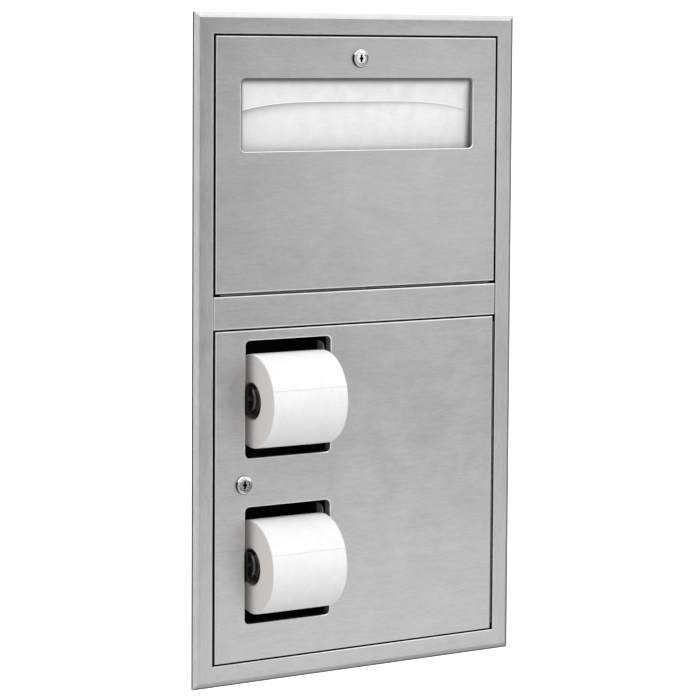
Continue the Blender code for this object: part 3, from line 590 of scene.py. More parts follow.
class Shell:
    """A closed mesh in the making, built of rings of points on a plane."""

    def __init__(self, plane: Plane = on_front, marks: Sequence[str] = ("rim", "inside")) -> None:
        """Start an empty mesh.

        Args:
            plane: Turns (u, v, depth) into a place in the world.
            marks: Names of the marks that points carry.
        """
        self.bm = bmesh.new()
        self.plane = plane
        self.marks = [self.bm.verts.layers.float.new(name) for name in marks]

    def ring(self, points: Ring) -> list[bmesh.types.BMVert]:
        """Add a ring of points.

        Args:
            points: Each with its marks behind its place.

        Returns:
            The ring's vertices.
        """
        made = []
        for point in points:
            vert = self.bm.verts.new(self.plane(*point[:3]))
            for layer, mark in zip(self.marks, point[3:]):
                vert[layer] = mark
            made.append(vert)
        return made

    def bridge(self, first: Sequence, second: Sequence, closed: bool = True) -> None:
        """Join two rings of as many points with quads.

        Args:
            first: One ring.
            second: The other ring.
            closed: Whether the last point joins the first again.
        """
        count = len(first)
        for i in range(count if closed else count - 1):
            j = (i + 1) % count
            self.bm.faces.new((first[i], first[j], second[j], second[i]))

    def wall(self, rings: Sequence[Ring]) -> list[list]:
        """Add rings and join each to the next.

        Args:
            rings: Rings of as many points.

        Returns:
            Their vertices, ring by ring.
        """
        made = [self.ring(points) for points in rings]
        for first, second in zip(made, made[1:]):
            self.bridge(first, second)
        return made

    def fill(self, *rings: Sequence) -> None:
        """Fill flat between an outline and its holes.

        Args:
            *rings: Vertices of the outline and of each hole.
        """
        edges = []
        for ring in rings:
            edges += [self.bm.edges.get((ring[i - 1], ring[i])) for i in range(len(ring))]
        across = rings[0][1].co - rings[0][0].co
        normal = across.cross(rings[0][len(rings[0]) // 2].co - rings[0][1].co)
        bmesh.ops.triangle_fill(self.bm, edges=edges, use_beauty=True, use_dissolve=False, normal=normal)

    def sheet(self, edges: Sequence[Sequence[Ring]], front_pockets: Sequence = (),
              back_pockets: Sequence = ()) -> "Shell":
        """Make a sheet of its edges, each of which runs from the front skin to the back skin.

        Args:
            edges: Rings of each edge, the outline first.
            front_pockets: Rings of pockets that open in the front skin, from mouth to floor.
            back_pockets: The same in the back skin.

        Returns:
            This shell.
        """
        walls = [self.wall(rings) for rings in edges]
        for pockets, side in ((front_pockets, 0), (back_pockets, -1)):
            skin = [wall[side] for wall in walls]
            for rings in pockets:
                wall = self.wall(rings)
                skin.append(wall[0])
                self.fill(wall[-1])
            self.fill(*skin)
        return self

    def bar(self, ends: Sequence[Ring]) -> "Shell":
        """Make a bar between its two ends.

        Args:
            ends: The section at each end.

        Returns:
            This shell.
        """
        made = self.wall(ends)
        for end in made:
            self.fill(end)
        return self

    def lathe(self, stations: Ring, sides: int, ring_shaped: bool = False) -> "Shell":
        """Turn stations of (radius, along) and their marks round the plane's third axis.

        Args:
            stations: The section.
            sides: Facets round it.
            ring_shaped: Whether the section closes on itself, as in a tube.

        Returns:
            This shell.
        """
        rings = self.wall([[(u, v, *rest) for u, v in circle(radius, sides)] for radius, *rest in stations])
        if ring_shaped:
            self.bridge(rings[-1], rings[0])
        else:
            self.fill(rings[0])
            self.fill(rings[-1])
        return self

    def mesh(self, name: str, smooth_angle: float = 38.0) -> Mesh:
        """Turn the shell into a mesh that faces outwards.

        Args:
            name: The mesh's name.
            smooth_angle: Edges sharper than this many degrees stay sharp.

        Returns:
            The mesh.
        """
        bmesh.ops.recalc_face_normals(self.bm, faces=self.bm.faces)
        mesh = bpy.data.meshes.new(name)
        self.bm.to_mesh(mesh)
        self.bm.free()
        return smoothed(mesh, smooth_angle)


def smoothed(mesh: Mesh, angle: float) -> Mesh:
    """Shade a mesh smooth.

    Args:
        mesh: The mesh.
        angle: Edges sharper than this many degrees stay sharp.

    Returns:
        The same mesh.
    """
    mesh.shade_smooth()
    mesh.set_sharp_from_angle(angle=math.radians(angle))
    return mesh


def add_piece(name: str, mesh: Mesh, finish: Finish, body: str, *stands_for: str) -> None:
    """Put a finished piece in the scene and let it ride on its body.

    Args:
        name: The piece's name.
        mesh: Its mesh, in world places.
        finish: Its finish.
        body: The body that carries it.
        *stands_for: CAD nodes that it replaces.
    """
    mesh.materials.clear()
    mesh.materials.append(finish.material())
    piece = bpy.data.objects.new(name, mesh)
    bpy.context.scene.collection.objects.link(piece)
    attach(piece, body)
    if stands_for:
        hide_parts(*stands_for)
    log.info("%s: %d faces on %s", name, len(mesh.polygons), body)


def dress_node(node: str, finish: Finish) -> None:
    """Give a CAD node its finish and keep its shape.

    Args:
        node: The CAD node.
        finish: Its finish.
    """
    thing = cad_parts[node]
    thing.data.materials.clear()
    thing.data.materials.append(finish.material())
    log.info("%s: kept, %s", node, finish.name)


class RuleTree:
    """A geometry tree with named inputs that turns one mesh into another."""

    name: str
    sockets: dict[str, str]

    def __init__(self) -> None:
        """Build the tree, which ends in real geometry with its material."""
        self.tree = bpy.data.node_groups.new(self.name, "GeometryNodeTree")
        for label, kind in {"Geometry": "Geometry", **self.sockets, "Material": "Material"}.items():
            self.tree.interface.new_socket(label, in_out="INPUT", socket_type="NodeSocket" + kind)
        self.tree.interface.new_socket("Geometry", in_out="OUTPUT", socket_type="NodeSocketGeometry")
        board = NodeBoard(self.tree)
        given = board.add("NodeGroupInput").outputs
        real = board.add("GeometryNodeRealizeInstances", {"Geometry": self.draw(board, given)})
        done = board.add("GeometryNodeSetMaterial", {"Geometry": real.outputs[0],
                                                     "Material": given["Material"]})
        board.add("NodeGroupOutput", {"Geometry": done.outputs[0]})

    def draw(self, board: NodeBoard, given: bpy.types.NodeOutputs) -> Socket:
        """Add the rule's nodes and give their geometry; each rule has its own."""
        raise NotImplementedError

    def run(self, mesh: Mesh, values: dict) -> Mesh:
        """Run the tree on a mesh.

        Args:
            mesh: The tree's input.
            values: Its other inputs, by socket name.

        Returns:
            The plain mesh that the tree makes.
        """
        holder = bpy.data.objects.new(mesh.name + "_before", mesh)
        bpy.context.scene.collection.objects.link(holder)
        modifier = holder.modifiers.new("made_by_rule", "NODES")
        modifier.node_group = self.tree
        for item in self.tree.interface.items_tree:
            if item.item_type == "SOCKET" and item.in_out == "INPUT" and item.name in values:
                modifier[item.identifier] = values[item.name]
        seen = bpy.context.evaluated_depsgraph_get()
        made = bpy.data.meshes.new_from_object(holder.evaluated_get(seen), preserve_all_data_layers=True,
                                               depsgraph=seen)
        holder.modifiers.clear()
        bpy.data.objects.remove(holder)
        return made


class RowRepeater(RuleTree):
    """Repeats a mesh in a row, each copy moved a little at random."""

    name = "repeat_in_a_row"
    sockets = {"Count": "Int", "Step": "Vector", "Jitter": "Vector", "Seed": "Int"}

    def draw(self, board: NodeBoard, given: bpy.types.NodeOutputs) -> Socket:
        """Put copies on the points of a line.

        Args:
            board: The tree's nodes.
            given: The tree's inputs, by name.

        Returns:
            The copies.
        """
        row = board.add("GeometryNodeMeshLine", {"Count": given["Count"], "Offset": given["Step"]})
        chance = board.add("FunctionNodeRandomValue", {
            "Min": board.scaled(given["Jitter"], -1.0), "Max": given["Jitter"], "Seed": given["Seed"]},
            data_type="FLOAT_VECTOR")
        moved = board.add("GeometryNodeSetPosition", {"Geometry": row.outputs[0],
                                                      "Offset": chance.outputs["Value"]})
        return board.add("GeometryNodeInstanceOnPoints", {"Points": moved.outputs[0],
                                                          "Instance": given["Geometry"]}).outputs[0]

    def repeat(self, mesh: Mesh, count: int, step: Point3, finish: Finish, jitter: Point3 = (0.0, 0.0, 0.0),
               seed: int = 1) -> Mesh:
        """Give one plain mesh of all the copies.

        Args:
            mesh: The first copy, in its place.
            count: How many copies.
            step: Move from one copy to the next.
            finish: Finish of the copies.
            jitter: Greatest random move along each axis.
            seed: Seed of the random moves.

        Returns:
            The mesh of the whole row.
        """
        return self.run(mesh, {"Count": count, "Step": step, "Jitter": jitter, "Seed": seed,
                               "Material": finish.material()})


class EmbossTree(RuleTree):
    """Presses a quilted pattern into the skin of a round roll."""

    name = "embossed_roll"
    sockets = {"Centre": "Vector", "Cells Round": "Float", "Cell Length": "Float", "Depth": "Float"}

    def draw(self, board: NodeBoard, given: bpy.types.NodeOutputs) -> Socket:
        """Move the skin outwards by the product of two crossing waves.

        Args:
            board: The tree's nodes.
            given: The tree's inputs, by name.

        Returns:
            The embossed roll.
        """
        place = board.add("GeometryNodeInputPosition").outputs[0]
        arm = board.vector("SUBTRACT", place, given["Centre"]).outputs[0]
        parts = board.add("ShaderNodeSeparateXYZ", {0: arm}).outputs
        angle = board.math("ARCTAN2", parts["Z"], parts["Y"])
        round_turns = board.math("MULTIPLY", angle, given["Cells Round"])
        along_turns = board.math("DIVIDE", board.math("MULTIPLY", parts["X"], 2 * math.pi),
                                 given["Cell Length"])
        ways = [board.math("ABSOLUTE", board.math("SINE", board.math(sign, round_turns, along_turns)))
                for sign in ("ADD", "SUBTRACT")]
        skin = board.add("GeometryNodeInputNamedAttribute", {"Name": "skin"}, data_type="FLOAT")
        pattern = board.math("MULTIPLY", board.math("MULTIPLY", *ways), skin.outputs["Attribute"])
        depth = board.math("MULTIPLY", pattern, given["Depth"])
        radial = board.add("ShaderNodeCombineXYZ", {"Y": parts["Y"], "Z": parts["Z"]}).outputs[0]
        move = board.scaled(board.vector("NORMALIZE", radial).outputs[0], depth)
        return board.add("GeometryNodeSetPosition", {"Geometry": given["Geometry"],
                                                     "Offset": move}).outputs[0]


def join(first: Mesh, second: Mesh) -> Mesh:
    """Put two meshes into one.

    Args:
        first: The mesh that takes both.
        second: The other mesh.

    Returns:
        The first mesh.
    """
    bm = bmesh.new()
    bm.from_mesh(first)
    bm.from_mesh(second)
    bm.to_mesh(first)
    bm.free()
    return smoothed(first, 40.0)


@dataclass(frozen=True)
class MemberLook:
    """How one flange member differs from the others in width and in the painted highlight and painted shade
    of its bends.
    """

    extra: float = 0.0
    # Painted shade on the crease, the bevel and the hem, the share of the painted highlight, and the width of
    # a painted dark band from the hem onto the bevel; members differ because the light falls differently on
    # each side.
    crease_dark: float = 0.0
    bevel_dark: float = 0.0
    hem_dark: float = 0.92
    painted_highlight: float = 1.0
    hem_line: float = 0.0


@dataclass
class Flange:
    """Bevelled flange of four brushed members that meet in mitres."""

    face_width: float = 0.0244
    bevel_width: float = 0.0064
    projection: float = 0.0056
    sheet: float = 0.0009
    return_depth: float = 0.015
    bend_radius: float = 0.0013
    crease_radius: float = 0.0009
    hem_depth: float = 0.0021
    hem_radius: float = 0.0012
    hem_spread: float = 2.2
    left: MemberLook = MemberLook(crease_dark=0.28)
    right: MemberLook = MemberLook(extra=-0.0005, painted_highlight=0.5, hem_line=0.0056)
    top: MemberLook = MemberLook(extra=0.0006, hem_dark=0.35, painted_highlight=0.0)
    bottom: MemberLook = MemberLook(extra=0.0007, crease_dark=0.1, bevel_dark=0.24, hem_line=0.0026)
    mitre_gap: float = 0.00006
    corner_trim: float = 0.0006
    bend_steps: int = 8
    crease_steps: int = 4

    def section(self, look: MemberLook) -> list[tuple[float, ...]]:
        """Closed section of a member: distance from the outer edge, depth and marks.

        Args:
            look: How it differs from the others; a crease without painted shade gets a painted highlight.

        Returns:
            Its points.
        """
        fall = self.projection - self.hem_depth
        slope = math.atan2(fall, self.bevel_width)
        reach = self.crease_radius * math.tan(slope / 2)
        turn = math.pi / 2 - slope
        back = self.hem_radius * math.tan(turn / 2)
        crease, hem = [], []
        for step in range(self.crease_steps + 1):
            share = step / self.crease_steps
            crest = math.sin(math.pi * share)
            angle = slope * (1 - share)
            crease.append((self.bevel_width + reach - self.crease_radius * math.sin(angle),
                           self.crease_radius * (1 - math.cos(angle)), 0.0 if look.crease_dark else crest,
                           look.crease_dark * crest + look.bevel_dark * (1 - share)))
            angle = slope + turn * (1 - share)
            dark = 1.0 if look.hem_line else min(1.0, self.hem_spread * (1 - share))
            hem.append((self.hem_radius * (1 - math.sin(angle)),
                        fall + back - self.hem_radius * math.cos(angle), 0.0,
                        look.bevel_dark + (look.hem_dark - look.bevel_dark) * dark))
        if look.hem_line:
            out, depth, *_ = hem[-1]
            hem.append((out + look.hem_line * math.cos(slope), depth - look.hem_line * math.sin(slope), 0.0,
                        look.bevel_dark))
        edge = TurnedEdge(self.bend_radius, self.sheet, self.return_depth, steps=self.bend_steps)
        turned = [(self.face_width + look.extra - inset, depth, rim * look.painted_highlight, inside)
                  for inset, depth, rim, inside in edge.section()]
        length = math.hypot(self.bevel_width, fall)
        inner_crease = self.bevel_width + self.sheet * (length - self.bevel_width) / fall
        inner_hem = fall + self.sheet * (length - fall) / self.bevel_width
        # The hidden back of the sheet carries full painted shade.
        return [(inner_crease, self.sheet, 0.0, 1.0), (self.sheet, inner_hem, 0.0, 1.0),
                (self.sheet, self.projection, 0.0, 1.0), (0.0, self.projection, 0.0, look.hem_dark), *hem,
                *crease, *turned]

    def member(self, name: str, half_length: float, plane: Plane, finish: Finish, look: MemberLook) -> None:
        """Build one member between its two mitres.

        Args:
            name: The piece's name.
            half_length: Half of its outer length.
            plane: Turns (along, from the outer edge, depth) into a place.
            finish: Its finish, with the grain along it.
            look: How it differs from the others.
        """
        ends = []
        for side in (-1, 1):
            ends.append([(side * (half_length - out - max(0.0, self.corner_trim - out) - self.mitre_gap), out,
                          depth, *marks) for out, depth, *marks in self.section(look)])
        add_piece(name, Shell(plane).bar(ends).mesh(name), finish, "cabinet", "flange_frame")

    def build(self) -> None:
        """Build the four members."""
        low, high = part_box("flange_frame")
        self.member("flange_left_member", high.z,
                    lambda along, out, depth: on_front(low.x + out, along, depth), STEEL_UPRIGHT, self.left)
        self.member("flange_right_member", high.z,
                    lambda along, out, depth: on_front(high.x - out, along, depth), STEEL_UPRIGHT, self.right)
        self.member("flange_top_member", high.x,
                    lambda along, out, depth: on_front(along, high.z - out, depth), STEEL_ACROSS, self.top)
        self.member("flange_bottom_member", high.x,
                    lambda along, out, depth: on_front(along, low.z + out, depth), STEEL_ACROSS, self.bottom)


@dataclass
class Tray:
    """A sheet turned at all its edges, with windows and round holes in it."""

    node: str
    body: str
    finish: Finish
    edge: TurnedEdge
    plane: Plane
    outline: RoundedRectangle
    windows: Sequence[tuple[RoundedRectangle, TurnedEdge]] = ()
    holes: Sequence[tuple[Point2, float]] = ()
    hole_sides: int = 48

    def build(self) -> None:
        """Build the tray in place of its node."""
        edges = [self.rings(shape, edge) for shape, edge in ((self.outline, self.edge), *self.windows)]
        for centre, radius in self.holes:
            edges.append(levels(circle(radius, self.hole_sides, centre), 0.0, self.edge.sheet))
        mesh = Shell(self.plane).sheet(edges).mesh(self.node + "_formed")
        add_piece(self.node + "_formed", mesh, self.finish, self.body, self.node)

    @staticmethod
    def rings(shape: RoundedRectangle, edge: TurnedEdge) -> list[Ring]:
        """Rings of one edge of the tray."""
        return [[(u, v, depth, *shape.marks(u, v, rim, inside)) for u, v in shape.loop(inset)]
                for inset, depth, rim, inside in edge.section()]


def outline_of(node: str, corner: float, right: float = 0.0, below: float = 0.0,
               above: float = 0.0) -> RoundedRectangle:
    """Outline of a node from the front, with its edges moved out to the right, below or above."""
    low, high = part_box(node)
    return RoundedRectangle(low.x, high.x + right, low.z - below, high.z + above, corner)


def middle_of(node: str) -> Vector:
    """Middle of a CAD node's box."""
    low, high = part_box(node)
    return (low + high) / 2


@dataclass
class Doors:
    """Upper and lower door and the rail between them."""

    sheet: float = 0.0012
    return_depth: float = 0.011
    bend_radius: float = 0.0021
    corner: float = 0.0006
    window_bend: float = 0.0015
    window_lip: float = 0.006
    roll_window_lip: float = 0.0118
    window_corner: float = 0.0056
    seat_window_height: float = 0.0829
    seat_window_drop: float = 0.049
    seat_window_margin: float = 0.03215
    roll_window_half_width: float = 0.05675
    roll_window_half_height: float = 0.0682054
    seat_window_shade: float = 0.72
    lip_shade: float = 0.5
    lock_hole_radius: float = 0.0095
    rail_leg: float = 0.02
    close_fit: float = 0.0007
    top_fit: float = 0.0004
    side_fit: float = 0.0011

    def window(self, centre: Point2, half_width: float, half_height: float, lip: float,
               dark_top: float = 0.0) -> tuple[RoundedRectangle, TurnedEdge]:
        """A window with its turned-in lip."""
        shape = RoundedRectangle(centre[0] - half_width, centre[0] + half_width, centre[1] - half_height,
                                 centre[1] + half_height, self.window_corner, True, dark_top)
        return shape, TurnedEdge(self.window_bend, self.sheet, lip, self.lip_shade)

    def door(self, prefix: str, right: float, below: float, above: float, windows: Sequence) -> None:
        """Build one door with its windows and the hole for its lock.

        Args:
            prefix: Upper or lower.
            right: How far its edge moves out at the right.
            below: How far it moves out at the bottom.
            above: How far it moves out at the top.
            windows: Its windows.
        """
        node = prefix + "_door_panel"
        lock = middle_of(prefix + "_lock_plug")
        edge = TurnedEdge(self.bend_radius, self.sheet, self.return_depth)
        outline = outline_of(node, self.corner, right, below, above)
        Tray(node, prefix + "_door", STEEL_ACROSS, edge, on_front, outline, windows,
             [((lock.x, lock.z), self.lock_hole_radius)]).build()

    def build(self) -> None:
        """Build both doors and the rail."""
        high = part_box("upper_door_panel")[1]
        half_height = self.seat_window_height / 2
        self.door("upper", self.side_fit, 0.0, self.top_fit,
                  [self.window((0.0, high.z - self.seat_window_drop - half_height),
                               high.x - self.seat_window_margin, half_height, self.window_lip,
                               self.seat_window_shade)])
        centres = [middle_of(node) for node in ("upper_spindle", "lower_spindle")]
        self.door("lower", 0.0, self.close_fit, self.close_fit,
                  [self.window((centre.x, centre.z), self.roll_window_half_width,
                               self.roll_window_half_height, self.roll_window_lip) for centre in centres])
        Tray("centre_rail", "cabinet", STEEL_ACROSS, TurnedEdge(self.bend_radius, self.sheet, self.rail_leg),
             on_front, outline_of("centre_rail", self.corner, 0.0, self.close_fit)).build()


@dataclass
class CabinetShell:
    """Back, walls, shelf and black housing behind the doors."""

    sheet: float = 0.0009
    back_lip: float = 0.012
    back_bend: float = 0.0015
    shelf_sheet: float = 0.0012
    shelf_lip: float = 0.012
    shelf_bend: float = 0.002
    housing_sheet: float = 0.0012
    housing_bend: float = 0.0025
    corner: float = 0.0005
    weld_radius: float = 0.0028
    weld_lift: float = 0.0001
    weld_foot: float = 0.00002
    weld_eye: float = 0.0003
    weld_dome: tuple = ((0.55, 1.1), (0.8, 1.9))
    weld_sides: int = 20
    weld_share: float = 0.9
    weld_count: int = 9

    def build(self, rows: RowRepeater) -> None:
        """Build the formed sheets, dress the plain walls and add the spot welds.

        Args:
            rows: Repeater for the welds.
        """
        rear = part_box("cabinet_back")[1].y
        Tray("cabinet_back", "cabinet", SHADED_MILL_STEEL, TurnedEdge(self.back_bend, self.sheet, self.back_lip),
             lambda u, v, rise: (u, rear - rise, v), outline_of("cabinet_back", self.corner)).build()
        low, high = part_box("compartment_shelf")
        Tray("compartment_shelf", "cabinet", SHADED_MILL_STEEL,
             TurnedEdge(self.shelf_bend, self.shelf_sheet, self.shelf_lip),
             lambda x, y, drop: (x, y, high.z - drop),
             RoundedRectangle(low.x, high.x, low.y, high.y, self.corner)).build()
        front, back = (corner.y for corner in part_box("roll_housing"))
        Tray("roll_housing", "cabinet", BLACK_PAINT_AND_SHADE,
             TurnedEdge(self.housing_bend, self.housing_sheet, back - front),
             lambda u, v, rise: (u, back - rise, v), outline_of("roll_housing", self.corner)).build()
        for side in ("left", "right", "top", "bottom"):
            dress_node(f"cabinet_{side}_wall", SHADED_MILL_STEEL)
        for prefix in ("upper", "lower"):
            dress_node(prefix + "_strike", PARTS_STEEL)
            dress_node(prefix + "_hinge_pin", SHADED_HINGE_STEEL)
        for word, side in (("left", -1), ("right", 1)):
            self.weld_row(rows, word, side)

    def weld_row(self, rows: RowRepeater, word: str, side: int) -> None:
        """Spot welds down the rear edge of a side wall, where it laps the back's lip.

        Args:
            rows: Repeater for the welds.
            word: Left or right.
            side: Which way the wall faces along X.
        """
        low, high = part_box(f"cabinet_{word}_wall")
        outer = high.x if side > 0 else low.x
        place_y = high.y - self.back_lip / 2
        length = (high.z - low.z) * self.weld_share
        shell = Shell(lambda u, v, out: (outer + side * (out - self.weld_lift), place_y + u, v - length / 2))
        dome = [(self.weld_radius * out, self.weld_lift * lift) for out, lift in self.weld_dome]
        stations = [(self.weld_eye, self.weld_lift), *dome, (self.weld_radius, self.weld_foot)]
        name = word + "_wall_welds"
        step = (0.0, 0.0, length / (self.weld_count - 1))
        weld = shell.lathe(stations, self.weld_sides).mesh(name)
        mesh = rows.repeat(weld, self.weld_count, step, SHADED_MILL_STEEL)
        add_piece(name, mesh, SHADED_MILL_STEEL, "cabinet")


@dataclass
class PianoHinge:
    """One long hinge: two leaves whose curled knuckles take turns along the pin."""

    prefix: str
    leaf_sheet: float = 0.00045
    leaf_width: float = 0.0068
    setback: float = 0.0015
    knuckle_radius: float = 0.0012
    pitch: float = 0.0253
    gap: float = 0.0004
    wrap_share: float = 0.8
    steps: int = 20

    def knuckle(self, name: str, plane: Plane, low: float, high: float) -> Mesh:
        """One curled knuckle between two places along the pin.

        Args:
            name: The mesh's name.
            plane: Turns (across, deep, along) from the pin into a place.
            low: Where it starts along the pin.
            high: Where it ends.

        Returns:
            Its mesh.
        """
        bore = self.knuckle_radius - self.leaf_sheet
        turns = [2 * math.pi * self.wrap_share * step / self.steps for step in range(self.steps + 1)]
        outer, inner = ([(radius * math.cos(a), -radius * math.sin(a)) for a in turns]
                        for radius in (self.knuckle_radius, bore))
        section = [(self.knuckle_radius, self.setback), *outer, *inner[::-1], (bore, self.setback)]
        shell = Shell(plane)
        for end in shell.wall([[(*point, along) for point in section] for along in (low, high)]):
            for i in range(len(end) // 2 - 1):
                shell.bm.faces.new((end[i], end[i + 1], end[-2 - i], end[-1 - i]))
        return shell.mesh(name)

    def leaf(self, rows: RowRepeater, node: str, body: str, plane: Plane, span: Point2, phase: int,
             way: Point3) -> None:
        """One leaf: its strip and its knuckles.

        Args:
            rows: Repeater for the knuckles.
            node: The CAD node that it replaces.
            body: The body that carries it.
            plane: Turns (across, deep, along) from the pin into a place.
            span: Where the hinge starts and ends.
            phase: Nought for the leaf with the first knuckle, one for the other.
            way: The pin's direction, as a triple of noughts and a one.
        """
        low, high = span
        count = 2 * round((high - low) / self.pitch / 2) + 1
        pitch = (high - low) / count
        start = low + phase * pitch + self.gap / 2
        first = self.knuckle(node + "_knuckle", plane, start, start + pitch - self.gap)
        copies = rows.repeat(first, (count + 1) // 2 - phase, tuple(share * 2 * pitch for share in way),
                             SHADED_HINGE_STEEL)
        bore, radius = self.knuckle_radius - self.leaf_sheet, self.knuckle_radius
        deep = self.setback + self.leaf_width
        strip = [(bore, self.setback), (radius, self.setback), (radius, deep), (bore, deep)]
        shell = Shell(plane).bar([[(*point, along) for point in strip] for along in span])
        add_piece(node + "_rolled", join(shell.mesh(node + "_rolled"), copies), SHADED_HINGE_STEEL, body, node)

    def build(self, rows: RowRepeater) -> None:
        """Build both leaves round the pin of the frame.

        Args:
            rows: Repeater for the knuckles.
        """
        low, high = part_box(self.prefix + "_hinge_pin")
        axis = (low + high) / 2
        lies = self.prefix == "upper"
        way = (1.0, 0.0, 0.0) if lies else (0.0, 0.0, 1.0)

        def place(side: int) -> Plane:
            """Plane of the leaf on one side of the pin."""
            if lies:
                return lambda across, deep, along: (along, axis.y + deep, axis.z - side * across)
            return lambda across, deep, along: (axis.x + side * across, axis.y + deep, along)

        span = (low.x, high.x) if lies else (low.z, high.z)
        for word, body, side, phase in (("fixed", "cabinet", 1, 0), ("moving", self.prefix + "_door", -1, 1)):
            self.leaf(rows, f"{self.prefix}_hinge_{word}_leaf", body, place(side), span, phase, way)


@dataclass
class CamLock:
    """One lock: bezel and barrel, nut, plug with its keyway, cam and screw."""

    prefix: str
    cam_turn: float
    bezel_radius: float = 0.0107
    bezel_height: float = 0.003
    rim_radius: float = 0.0016
    dish_depth: float = 0.0006
    barrel_radius: float = 0.0092
    plug_radius: float = 0.0062
    plug_gap: float = 0.0001
    plug_chamfer: float = 0.0004
    barrel_end: float = 0.0134
    door_sheet: float = 0.0012
    keyway_height: float = 0.0092
    keyway_width: float = 0.0027
    ward_width: float = 0.0054
    ward_height: float = 0.0025
    painted_highlight_from: float = 0.0045
    mark_step: float = 0.00003
    keyway_depth: float = 0.006
    nut_across_flats: float = 0.0235
    nut_height: float = 0.0035
    cam_front: float = 0.0137
    cam_sheet: float = 0.002
    cam_reach: float = 0.0235
    cam_half_width: float = 0.0078
    tang_half: float = 0.003
    tang_past_cam: float = 0.0002
    screw_head_radius: float = 0.0055
    screw_head_height: float = 0.0022
    slot_half_width: float = 0.0006
    slot_depth: float = 0.001
    sides: int = 64

    def plane(self, u: float, v: float, depth: float) -> Point3:
        """Place a point round the lock's axis, at a depth from the front plane."""
        middle = middle_of(self.prefix + "_lock_plug")
        return on_front(middle.x + u, middle.z + v, depth)

    def build(self) -> None:
        """Build the lock's five pieces in place of their nodes."""
        for word, shell, finish, body in (("body", self.body_shell(), CHROME, "_door"),
                                          ("nut", self.nut_shell(), PARTS_STEEL, "_door"),
                                          ("plug", self.plug_shell(), CHROME, "_lock"),
                                          ("cam", self.cam_shell(), PARTS_STEEL, "_lock"),
                                          ("screw", self.screw_shell(), PARTS_STEEL, "_lock")):
            node = f"{self.prefix}_lock_{word}"
            add_piece(node + "_turned", shell.mesh(node + "_turned"), finish, self.prefix + body, node)

    def body_shell(self) -> Shell:
        """Bezel with a rounded rim round a dished face, and the barrel behind the door, with painted
        highlight and painted shade.

        Returns:
            Its shell.
        """
        bore = self.plug_radius + self.plug_gap
        face = self.dish_depth - self.bezel_height
        lip = self.bezel_radius - self.rim_radius
        crown = (lip, self.rim_radius - self.bezel_height)
        # Painted highlight over the rim's crown and painted shade down its outer side.
        rim = [(*point, math.sin(math.pi * min(1.0, step / 3)), clamp(step / 2 - 0.5))
               for step, point in enumerate(arc(crown, self.rim_radius, 3, 6))]
        # Painted shade in the groove round the plug and down the dish.
        dish = [(bore, face + self.plug_chamfer, 0.0, 1.0), (bore + self.plug_chamfer, face, 0.0, 0.5),
                (bore + 2 * self.plug_chamfer, face, 0.0, 0.0), (lip - self.rim_radius, face, 0.0, 0.1),
                (lip - self.rim_radius / 2, (face - self.bezel_height) / 2, 0.0, 0.3)]
        back = [(self.bezel_radius, -SEAT_GAP, 0.0, 1.0), (self.barrel_radius, -SEAT_GAP, 0.0, 1.0)]
        barrel = [(self.barrel_radius, self.barrel_end), (bore, self.barrel_end)]
        shell = Shell(self.plane).lathe(dish + rim + back + barrel, self.sides, ring_shaped=True)
        # Painted reflection: the upper part of the bezel takes the full painted highlight and no painted
        # shade.
        painted_highlight, painted_shade = shell.marks
        start = self.plane(0.0, self.painted_highlight_from, 0.0)[2]
        for vert in shell.bm.verts:
            if vert.co.z > start and vert.co.y < FRONT_Y - SEAT_GAP:
                vert[painted_highlight], vert[painted_shade] = 1.0, 0.0
        return shell

    def nut_shell(self) -> Shell:
        """Hexagon nut with chamfered corners.

        Returns:
            Its shell.
        """
        front = self.door_sheet + SEAT_GAP
        end = front + self.nut_height
        corner = self.nut_across_flats / math.sqrt(3)
        chamfer = self.nut_height / 6
        hexagon = levels(circle(corner, 6), front, end - chamfer) + levels(circle(corner - chamfer, 6), end)
        bore = levels(circle(self.barrel_radius + SEAT_GAP, self.sides), front, end)
        return Shell(self.plane).sheet([hexagon, bore])

    def keyway(self) -> list[Point2]:
        """Upright slot with a ward across its middle.

        Returns:
            Its outline.
        """
        points = []
        for side, rise in ((1, 1), (-1, 1), (-1, -1), (1, -1)):
            corner = [(side * self.ward_width / 2, rise * self.ward_height / 2),
                      (side * self.keyway_width / 2, rise * self.ward_height / 2),
                      (side * self.keyway_width / 2, rise * self.keyway_height / 2)]
            points += corner if side * rise > 0 else corner[::-1]
        return points

    def square(self, half: float, count: int) -> list[Point2]:
        """Points round a square at even angles."""
        return [(half * u / max(abs(u), abs(v)), half * v / max(abs(u), abs(v)))
                for u, v in circle(1.0, count)]

    def plug_shell(self) -> Shell:
        """Plug with its keyway in front and the square tang behind.

        Returns:
            Its shell.
        """
        face = self.dish_depth - self.bezel_height
        end = self.cam_front + self.cam_sheet + self.tang_past_cam
        body = levels(circle(self.plug_radius - self.plug_chamfer, self.sides), face)
        body += levels(circle(self.plug_radius, self.sides), face + self.plug_chamfer, self.barrel_end)
        body += levels(self.square(self.tang_half, self.sides), self.barrel_end, end)
        slot = self.keyway()
        # Painted shade on the keyway's walls and floor.
        dark = [[(*point, 0.0, 1.0) for point in ring]
                for ring in levels(slot, face + self.mark_step, face + self.keyway_depth)]
        thread = levels(circle(self.tang_half / 2 + self.plug_gap, 24), end,
                        end - 2 * self.tang_half - SEAT_GAP)
        return Shell(self.plane).sheet([body], [[*levels(slot, face), *dark]], [thread])

    def cam_shell(self) -> Shell:
        """Flat cam, round at both ends, on the plug's tang.

        Returns:
            Its shell.
        """
        tip = self.cam_reach - self.cam_half_width
        outline = []
        for place, start in ((0.0, 1), (tip, 3)):
            outline += arc((place, 0.0), self.cam_half_width, start, 12)
            outline += arc((place, 0.0), self.cam_half_width, (start + 1) % 4, 12)[1:]
        cosine, sine = math.cos(self.cam_turn), math.sin(self.cam_turn)

